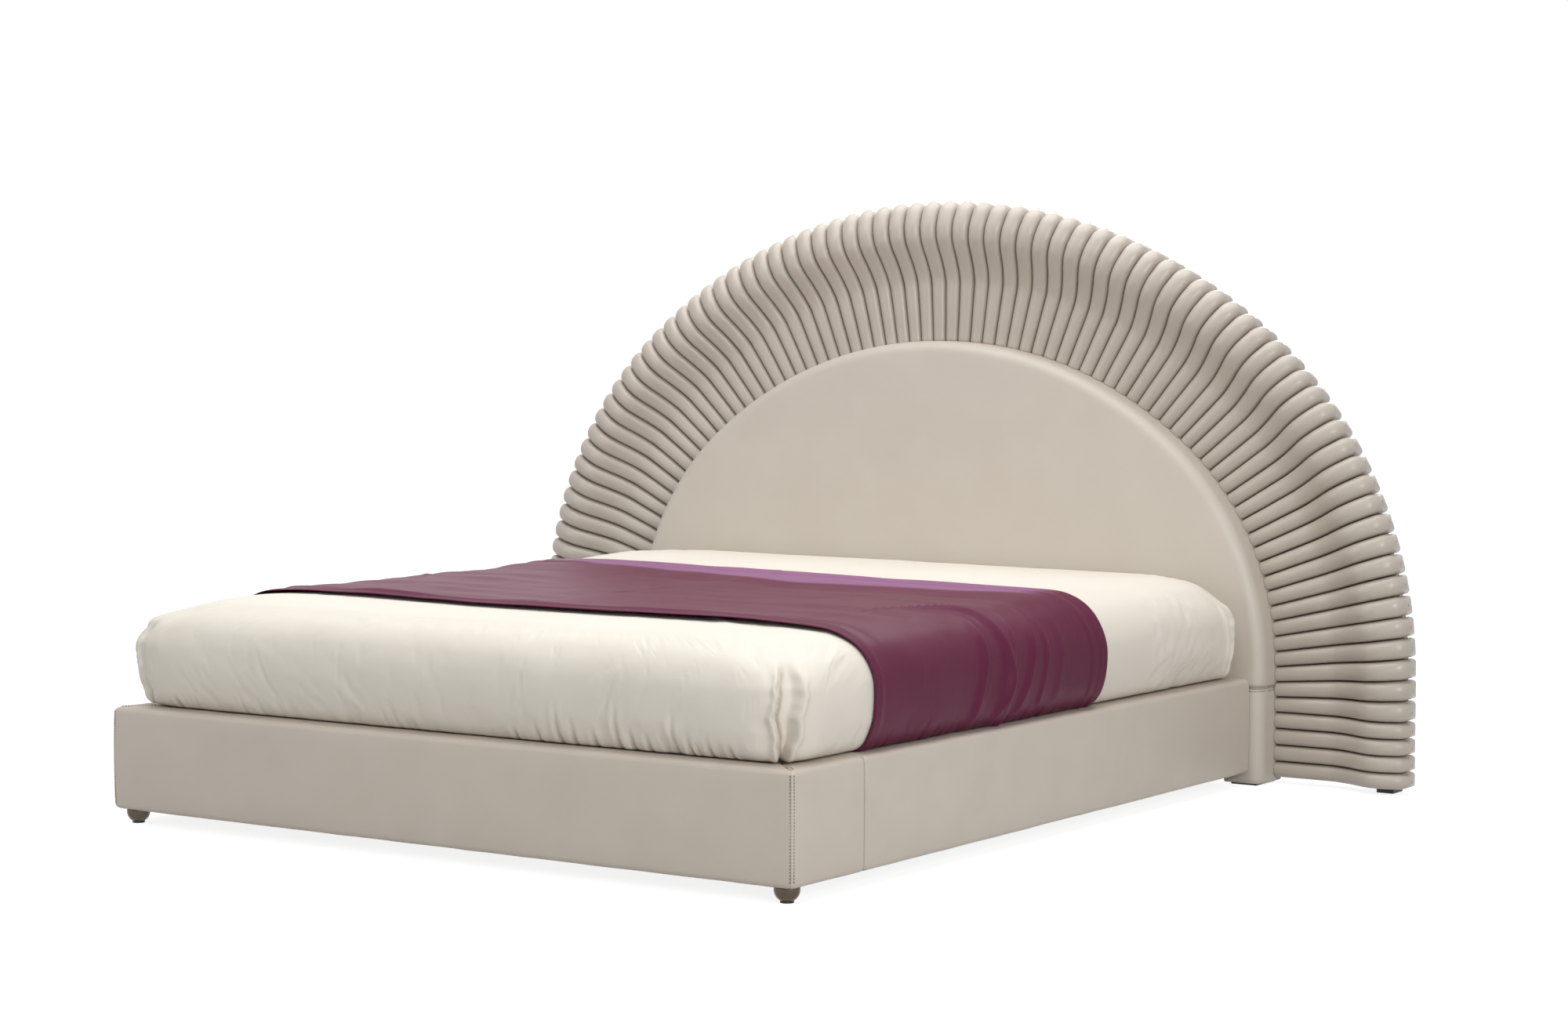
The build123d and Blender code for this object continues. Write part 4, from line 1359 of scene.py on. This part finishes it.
    def wrinkle(self, x: float, y: float, z: float, away: float) -> float:
        """Small rumples of the cloth: gathers at the tuck, drag lines near corners, waves on top.

        Args:
            x: Place across the bed.
            y: Place along the bed.
            z: Height above the floor.
            away: Distance from the nearest corner's middle.

        Returns:
            Distance along the outward direction.
        """
        at_foot = abs(y - self.foot_tuck) < 0.12
        run = x if at_foot else y
        cluster = 0.30 + 1.3 * max(0.0, ripple((run, 0.0, 7.0), 0.26)) ** 0.7
        reach = 0.045 + 0.11 * max(0.0, ripple((run, 2.0, 0.0), 0.06)) * cluster
        place = (run + 0.06 * (z - 0.28), 0.0, z * 0.1)
        gather = self.gather_height * ripple(place, 0.030, 3.0)
        gather -= self.valley_depth * max(0.0, 1 - abs(ripple(place, 0.045, 5.0)) / 0.16)
        gather *= (1 - ramp(z, 0.288, reach)) * ramp(z, 0.268, 0.016) * cluster
        gather += self.gathers(x, z) if at_foot else 0.0
        away = abs(away)
        drag = self.drag_height * math.exp(-away / 0.12) * ramp(z, 0.27, 0.04)
        drag *= ripple((away + 0.4 * z, x * 0.2, z * 0.8), 0.036, 9.0)
        large, small = self.waves
        wave = large * ripple((x, y * 0.8, z), 0.42, 1.0) + small * ripple((x, y, z * 1.5), 0.13, 4.0)
        sag = self.sag_height * ripple((x * 0.5, y * 0.5, z * 1.3), 0.09, 5.0)
        sag *= ramp(z, 0.29, 0.05) * (1 - ramp(z, 0.46, 0.05))
        return gather + drag + wave * ramp(z, 0.285, 0.06) + sag

    def leftness(self, x: float) -> float:
        """Eases from 0 at the right edge of the bedding to 1 at the left."""
        return smooth_step((0.75 - x) / 1.7)

    def rise(self, x: float, y: float, z: float) -> float:
        """Extra height of the top, which steps up under the throw and grows to the head.

        Args:
            x: Place across the bed.
            y: Place along the bed.
            z: Height before the rise.

        Returns:
            The extra height.
        """
        left = self.leftness(x)
        bend = 0.02 * ripple((x, 0.0, 0.0), 0.5, 8.0)
        step = self.throw_rise * ramp(y - FOOT + bend, 1.06 + 0.14 * left, 0.20)
        step += self.head_rise * ramp(y - FOOT, 1.45, 0.5) * (0.2 + 0.8 * left)
        return step * ramp(z, 0.43, 0.09)

    def surface(self) -> tuple[np.ndarray, np.ndarray, int]:
        """Points of all rings in order, the move that creases each point, and how many each ring has.

        Returns:
            The points, their moves and the count.
        """
        rows, creases = [], []
        profile = self.profile()
        (ear, ear_at, ear_reach), (dent, dent_at, dent_reach) = self.ear, self.dent
        for bulge, height, radius in profile:
            tilt = ramp(height, 0.49, 0.045)
            for x, y, ox, oy, corner, away in self.ring(bulge, radius):
                pleat = self.foot_pleat if corner in (0, 3) else self.head_pleat
                push = pleat.push(away if corner in (0, 2) else -away, height)
                push += self.wrinkle(x, y, height, away)
                if corner == 3:
                    push += ear * bell(height - ear_at, ear_reach) * bell(away, 0.036)
                    push -= dent * bell(height - dent_at, dent_reach) * bell(away, 0.09)
                rows.append((x, y, height + self.rise(x, y, height)))
                creases.append((ox * push * (1 - tilt), oy * push * (1 - tilt), push * tilt * 0.8))
        return np.array(rows), np.array(creases), len(rows) // len(profile)


@dataclass
class ClothPress:
    """Cloth simulation that lets a tucked cover buckle and settle where nothing holds it."""

    growth: float = 0.010
    pressure: float = 0.7
    cap: float = 0.0045  # a point moves less than this
    frames: int = 10
    levels: int = 10  # steps between loose and held
    quality: int = 4
    mass: float = 0.25
    stretch_stiffness: float = 25
    shear_stiffness: float = 8
    bending_stiffness: float = 0.4

    def settle(self, made: bpy.types.Object, start: np.ndarray, held: np.ndarray,
               creases: np.ndarray) -> None:
        """Settles the cover and folds in its creases.

        Args:
            made: The cover.
            start: Its points before the simulation.
            held: For each point how firmly it is held, from 0 to 1.
            creases: For each point the move that its folds and gathers add after the simulation.
        """
        moves = self.simulate(made, start, held)
        made.data.vertices.foreach_set("co", (start + moves + creases).ravel())
        made.data.update()

    def dress(self, made: bpy.types.Object) -> bpy.types.Modifier:
        """Adds the cloth modifier, which nothing pulls down and nothing touches.

        Args:
            made: The cover.

        Returns:
            The modifier.
        """
        cloth = made.modifiers.new("settling", "CLOTH")
        rules = cloth.settings
        rules.quality = self.quality
        rules.mass = self.mass
        rules.tension_stiffness = rules.compression_stiffness = self.stretch_stiffness
        rules.shear_stiffness = self.shear_stiffness
        rules.bending_stiffness = self.bending_stiffness
        rules.shrink_min = -self.growth
        rules.use_pressure = True
        rules.uniform_pressure_force = self.pressure
        rules.effector_weights.gravity = 0
        rules.vertex_group_mass = "held"
        cloth.collision_settings.use_collision = False
        cloth.collision_settings.use_self_collision = False
        return cloth

    def simulate(self, made: bpy.types.Object, start: np.ndarray, held: np.ndarray) -> np.ndarray:
        """Runs the simulation.

        Args:
            made: The cover.
            start: Its points.
            held: For each point how firmly it is held, from 0 to 1.

        Returns:
            The move of each point, capped.
        """
        group = made.vertex_groups.new(name="held")
        firmness = np.round(held * self.levels).astype(int)
        for level in range(1, self.levels + 1):
            group.add(np.nonzero(firmness == level)[0].tolist(), level / self.levels, "REPLACE")
        cloth = self.dress(made)
        scene = bpy.context.scene
        for number in range(1, self.frames + 1):
            scene.frame_set(number)
        settled = made.evaluated_get(bpy.context.evaluated_depsgraph_get())
        end = np.empty(len(start) * 3)
        settled.data.vertices.foreach_get("co", end)
        move = end.reshape(-1, 3) - start
        far = np.linalg.norm(move, axis=1)
        log.info("settled: mean %.2f mm, most %.2f mm", far.mean() * 1000, far.max() * 1000)
        share = np.tanh(far / self.cap) * self.cap / np.maximum(far, 1e-9) * (1 - held)
        made.modifiers.remove(cloth)
        made.vertex_groups.remove(group)
        scene.frame_set(1)
        return move * share[:, None]


@dataclass
class Bedding:
    """Mattress and the duvet tucked round it."""

    form: BeddingForm
    mattress_low: Flat = (-0.89, FOOT + 0.0933)
    mattress_high: Flat = (0.89, 0.9608)
    mattress_bottom: float = 0.2306
    mattress_radius: float = 0.06
    corner_steps: int = 8
    duvet_thickness: float = 0.003

    def build_mattress(self) -> None:
        """Builds the mattress with rounded corners and a piped edge top and bottom."""
        levels = [(0.0, 0.012), (0.0015, 0.004), (0.006, 0.0), (0.012, 0.0015), (0.02, 0.003),
                  (0.06, 0.0015), (0.125, 0.0008), (0.19, 0.0015), (0.23, 0.003), (0.238, 0.0015),
                  (0.244, 0.0), (0.2485, 0.004), (0.25, 0.012)]
        points = []
        for rise, inset in levels:
            radius = self.mattress_radius - inset
            for cx, cy, first in rounded_corners(self.mattress_low, self.mattress_high, self.mattress_radius):
                for step in range(self.corner_steps + 1):
                    angle = math.radians(first + 90 * step / self.corner_steps)
                    points.append((cx + radius * math.cos(angle), cy + radius * math.sin(angle),
                                   self.mattress_bottom + rise))
        made = piece("quilted_mattress", points, capped(len(levels), len(points) // len(levels)), TICKING,
                     "bed_mattress", ["mattress"])

    def held(self, points: np.ndarray) -> np.ndarray:
        """How firmly each point of the duvet is held: fully at the tuck, under the throw and on top.

        Args:
            points: The duvet's points.

        Returns:
            The firmness of each, from 0 to 1.
        """
        y, z = points[:, 1], points[:, 2]
        tuck = np.clip((0.292 - z) / 0.012, 0, 1)
        throw = np.clip((y - (FOOT + 0.255)) / 0.05, 0, 1) * np.clip((FOOT + 1.60 - y) / 0.05, 0, 1)
        top = np.clip((z - 0.515) / 0.02, 0, 1) * 0.7
        return np.maximum(np.maximum(tuck, throw), top)

    def build_duvet(self) -> None:
        """Builds the duvet as a closed skin over the form, open below where the mattress sits."""
        points, creases, count = self.form.surface()
        last = len(points) - count
        faces = loops_to_faces(len(points) // count, count)
        points, creases = (np.vstack([rows, rows[-count:].mean(0)]) for rows in (points, creases))
        faces += [(last + i, last + (i + 1) % count, last + count) for i in range(count)]
        made = piece("tucked_duvet", points, faces, COTTON_SATEEN, "bed_mattress", ["bedding"])
        ClothPress().settle(made, points, self.held(points), creases)
        thicken(made, self.duvet_thickness, -1)

    def build(self) -> None:
        """Builds the mattress and the duvet."""
        self.build_mattress()
        self.build_duvet()


@dataclass
class Throw:
    """Satin throw laid a little askew across the bed, hanging down both sides."""

    form: BeddingForm
    near: float = FOOT + 0.310
    far: float = FOOT + 1.330
    near_skew: float = 0.085
    far_skew: float = 0.190
    lift: float = 0.0042
    low: float = 0.2835  # lowest height of the hem, just above the rim
    rows: int = 190
    thickness: float = 0.0012
    hem_width: float = 0.012
    hem_height: float = 0.0012
    hem_allowance: float = 0.01  # length turned in at both ends together
    path_step: float = 0.009
    path_smoothing: int = 6
    sweep_height: float = 0.0125
    drapes: tuple[tuple[float, float, float, float], ...] = (  # place, lean, width and height of each
        (0.41, 0.42, 0.014, 0.0085), (0.32, 0.42, 0.015, 0.0080), (0.27, 0.22, 0.011, 0.0055),
        (0.54, 0.26, 0.018, 0.0085), (0.20, 0.15, 0.020, 0.0045))
    # The strip is painted sheen: a lilac highlight where the satin catches the light.
    strip: float = 0.185  # width of the lilac strip at the head edge

    def path(self) -> list[tuple[float, float, float, float]]:
        """Section of the bedding on the right, from the rim up to the middle, with outward directions.

        Returns:
            For each point its place (x, z) and its outward direction (x, z).
        """
        spots = [(self.form.half_tuck + b, h) for b, h, _ in self.form.profile() if h >= 0.281]
        spots.append((0.0, self.form.top))
        dense = []
        for a, b in zip(spots, spots[1:]):
            steps = max(1, int(math.hypot(b[0] - a[0], b[1] - a[1]) / self.path_step))
            dense += [(a[0] + (b[0] - a[0]) * i / steps, a[1] + (b[1] - a[1]) * i / steps)
                      for i in range(steps)]
        line = np.array([*dense, spots[-1]])
        for _ in range(self.path_smoothing):
            line[1:-1] = (line[:-2] + 2 * line[1:-1] + line[2:]) / 4
        tangent = np.gradient(line, axis=0)
        tangent /= np.linalg.norm(tangent, axis=1)[:, None]
        return [(p[0], p[1], t[1], -t[0]) for p, t in zip(line, tangent)]

    def fold(self, run: float, back: float, side: int) -> float:
        """Height of the folds above the bedding.

        Args:
            run: Distance along the throw from its lower end on that side.
            back: Distance from the head edge towards the foot.
            side: 1 on the right, -1 on the left.

        Returns:
            The extra height, never below 0.
        """
        hem = self.far - self.near
        drop = 1 - ramp(run, 0.24, 0.10)
        sweep = 0.46 + 8.0 * max(0.0, run - 0.30) ** 2
        swell = self.sweep_height * bell(back - sweep, 0.015) * (1 - ramp(run, 0.38, 0.12))
        swell *= 1.0 if side > 0 else 0.25
        for start, lean, wide, high in self.drapes:
            swell += high * drop * bell(back - start - lean * (0.25 - run), wide) * ramp(run, 0.02, 0.05)
        swell += 0.0020 * (1 - ramp(back, 0.030, 0.004))
        swell += 0.0034 * bell(back - 0.062 - 0.02 * run, 0.009)
        edge_fold = 0.0075 - (0.0 if side > 0 else 0.005 * (1 - ramp(run, 0.35, 0.35)))
        swell += edge_fold * bell(back - hem + 0.024, 0.010) * (0.3 + 0.7 * (1 - drop))
        swell += 0.0040 * bell(back - hem + 0.060 + 0.03 * math.sin(run * 6), 0.012) * (1 - drop)
        soft = 0.0030 * (1 + ripple((run * 0.18, back, side * 3.0), 0.075, 2.0)) * (1 - drop)
        soft += 0.0020 * (1 + ripple((run * 0.6, back, side * 5.0), 0.15, 2.0))
        return swell + soft

    def edges(self, x: float) -> Flat:
        """Places of the foot edge and the head edge at a place across the bed."""
        return (self.near + self.near_skew * smooth_step((0.1 - x) / 1.0),
                self.far + self.far_skew * self.form.leftness(x))

    def lilac(self, x: float, run: float, back: float) -> float:
        """Share of the painted sheen: a lilac highlight painted in a strip along the head edge on top of the
        bed.
        """
        width = self.strip * (0.40 + 0.60 * math.cos(1.7 * (x - 0.15))) + 0.02 * ripple((x, 0.0, 0.0), 0.3)
        return smooth_step((width - back) / 0.03) * ramp(run, 0.33, 0.10)

    def build(self) -> None:
        """Lays the cloth over the bedding and sews its hems."""
        half = self.path()
        lengths = [0.0]
        for a, b in zip(half, half[1:]):
            lengths.append(lengths[-1] + math.hypot(b[0] - a[0], b[1] - a[1]))
        section = [(x, z, ox, oz, run, 1) for (x, z, ox, oz), run in zip(half, lengths)]
        section += [(-x, z, -ox, oz, run, -1) for x, z, ox, oz, run, _ in reversed(section[:-1])]
        points, lilac = [], []
        for share in np.linspace(0, 1, self.rows):
            for x, z, ox, oz, run, side in section:
                near, far = self.edges(x)
                y = near + (far - near) * share
                back = (far - y) * (self.far - self.near) / (far - near)
                rise = self.form.wrinkle(x, y, z, 3.0) + self.lift + self.fold(run, back, side)
                inside = min(share, 1 - share) * (far - near)
                rise += self.hem_height if 0.0 < inside < self.hem_width else 0.0
                slack = 0.004 * ripple((x, y, z), 0.3, 6.0)
                points.append((x + ox * rise, y + slack,
                               max(z + oz * rise + self.form.rise(x, y, z), self.low)))
                lilac.append(self.lilac(x, run, back))
        faces = loops_to_faces(self.rows, len(section), closed=False)
        made = piece("satin_throw", points, faces, PLUM_SATIN, "bed_mattress", ["throw"])
        # Painted sheen: the share of the painted lilac highlight at each point.
        made.data.attributes.new("lilac", "FLOAT", "POINT").data.foreach_set("value", lilac)
        thicken(made, self.thickness, 1)


@dataclass(frozen=True)
class Lamp:
    """Square soft lamp: where it hangs, the point it faces, its side in metres and its power in watts."""

    name: str
    place: Point
    aim: Point
    size: float
    watts: float

    def hang(self) -> None:
        """Adds the lamp to the scene."""
        data = bpy.data.lights.new(self.name, "AREA")
        data.size = self.size
        data.energy = self.watts
        made = bpy.data.objects.new(self.name, data)
        bpy.context.scene.collection.objects.link(made)
        made.location = self.place
        made.rotation_euler = (Vector(self.aim) - Vector(self.place)).to_track_quat("-Z", "Y").to_euler()


def seen_by(tree: Tree, *rays: str) -> Socket:
    """Gives 1 for rays of the named kinds and 0 for all others.

    Args:
        tree: Node tree that takes the nodes.
        rays: Outputs of the light path node.

    Returns:
        The value, as a socket.
    """
    path = add_node(tree, "ShaderNodeLightPath")
    seen = path.outputs[rays[0]]
    for ray in rays[1:]:
        either = add_node(tree, "ShaderNodeMath", {}, {0: seen, 1: path.outputs[ray]}, operation="MAXIMUM")
        seen = either.outputs["Value"]
    return seen


@dataclass
class Studio:
    """Camera, floor, backdrop and lights."""

    camera_place: Point = (4.49679, -5.19654 + FOOT, 1.14816)
    yaw: float = 0.597836
    pitch: float = 0.0533683
    roll: float = 0.00152834
    lens: float = 71.207
    sensor: float = 36.0
    white: str = "#ffffff"
    fill_light: float = 0.33
    floor_bounce: str = "#bababa"  # what the floor throws back on the bed
    floor_seen: str = "#9c9c9c"  # how it takes the bed's shadow in the picture
    floor_half: float = 30.0
    glow: Flat = (0.86, 1.0)  # brightness added near the bed and far off
    glow_span: Flat = (2.5, 9.0)  # distances where that change starts and ends
    lamps: tuple[Lamp, ...] = (Lamp("overhead", (0.0, 0.2, 4.6), (0, 0.2, 0), 5.0, 215),
                               Lamp("front_right", (6.5, -4.2, 2.6), (0, 0, 0.5), 3.0, 220),
                               Lamp("front_left", (-4.5, -6.0, 2.6), (0, 0, 0.5), 3.5, 70),
                               Lamp("behind", (-1.0, 5.5, 3.4), (0, 1.0, 0.9), 3.0, 110))

    def camera(self) -> None:
        """Places the camera at the photograph's viewpoint."""
        data = bpy.data.cameras.new("camera")
        data.lens = self.lens
        data.sensor_width = self.sensor
        made = bpy.data.objects.new("camera", data)
        bpy.context.scene.collection.objects.link(made)
        turn = (Matrix.Rotation(self.yaw, 4, "Z") @ Matrix.Rotation(math.radians(90) - self.pitch, 4, "X")
                @ Matrix.Rotation(self.roll, 4, "Z"))
        made.matrix_world = Matrix.Translation(Vector(self.camera_place)) @ turn
        bpy.context.scene.camera = made

    def world(self) -> None:
        """Lights evenly from all round, and shows white where the background is seen."""
        made = bpy.data.worlds.new("studio_world")
        bpy.context.scene.world = made
        made.use_nodes = True
        tree = made.node_tree
        tree.nodes.clear()
        seen = seen_by(tree, "Is Camera Ray", "Is Glossy Ray", "Is Transmission Ray")
        fill, white = (add_node(tree, "ShaderNodeBackground",
                                {"Color": linear(self.white), "Strength": strength})
                       for strength in (self.fill_light, 1.0))
        mix = add_node(tree, "ShaderNodeMixShader", {}, {0: seen, 1: fill.outputs["Background"],
                                                         2: white.outputs["Background"]})
        add_node(tree, "ShaderNodeOutputWorld", {}, {"Surface": mix.outputs["Shader"]})

    def floor_material(self) -> bpy.types.Material:
        """Builds a matt floor that is nearly white in the picture and greyer in the light it throws back.

        Returns:
            The material.
        """
        matt = bpy.data.materials.new("pale_floor")
        matt.use_nodes = True
        tree = matt.node_tree
        shader = tree.nodes["Principled BSDF"]
        shader.inputs["Base Color"].default_value = linear(self.floor_bounce)
        shader.inputs["Roughness"].default_value = 0.9
        shader.inputs["Specular IOR Level"].default_value = 0.1
        dull = add_node(tree, "ShaderNodeBsdfDiffuse", {"Color": linear(self.floor_seen)})
        place = add_node(tree, "ShaderNodeTexCoord").outputs["Object"]
        away = add_node(tree, "ShaderNodeVectorMath", {}, {0: place}, operation="LENGTH")
        fade = add_node(tree, "ShaderNodeMapRange",
                        {"From Min": self.glow_span[0], "From Max": self.glow_span[1],
                         "To Min": self.glow[0], "To Max": self.glow[1]},
                        {"Value": away.outputs["Value"]}, interpolation_type="SMOOTHSTEP")
        glow = add_node(tree, "ShaderNodeEmission", {"Color": linear(self.white)},
                        {"Strength": fade.outputs["Result"]})
        both = add_node(tree, "ShaderNodeAddShader", {},
                        {0: dull.outputs["BSDF"], 1: glow.outputs["Emission"]})
        mix = add_node(tree, "ShaderNodeMixShader", {},
                       {0: seen_by(tree, "Is Camera Ray", "Is Glossy Ray"), 1: shader.outputs["BSDF"],
                        2: both.outputs["Shader"]})
        tree.links.new(mix.outputs["Shader"], tree.nodes["Material Output"].inputs["Surface"])
        return matt

    def floor(self) -> None:
        """Lays a plain pale floor."""
        data = bpy.data.meshes.new("floor")
        half = self.floor_half
        data.from_pydata([(-half, -half, 0), (half, -half, 0), (half, half, 0), (-half, half, 0)], [],
                         [(0, 1, 2, 3)])
        data.materials.append(self.floor_material())
        made = bpy.data.objects.new("floor", data)
        bpy.context.scene.collection.objects.link(made)

    def build(self) -> None:
        """Sets up the studio."""
        bpy.context.scene.view_settings.view_transform = "Standard"
        self.world()
        self.floor()
        for lamp in self.lamps:
            lamp.hang()
        self.camera()


def main() -> None:
    """Builds the bed and its studio in order."""
    logging.basicConfig(level=logging.INFO, format="%(message)s")
    arch = Arch()
    Studio().build()
    RollFan(arch).build()
    PanelPadding(arch).build()
    HeadboardCarcass(arch).build()
    BedBase().build()
    SlattedBase().build()
    form = BeddingForm()
    Bedding(form).build()
    Throw(form).build()


if __name__ == "__main__":
    main()
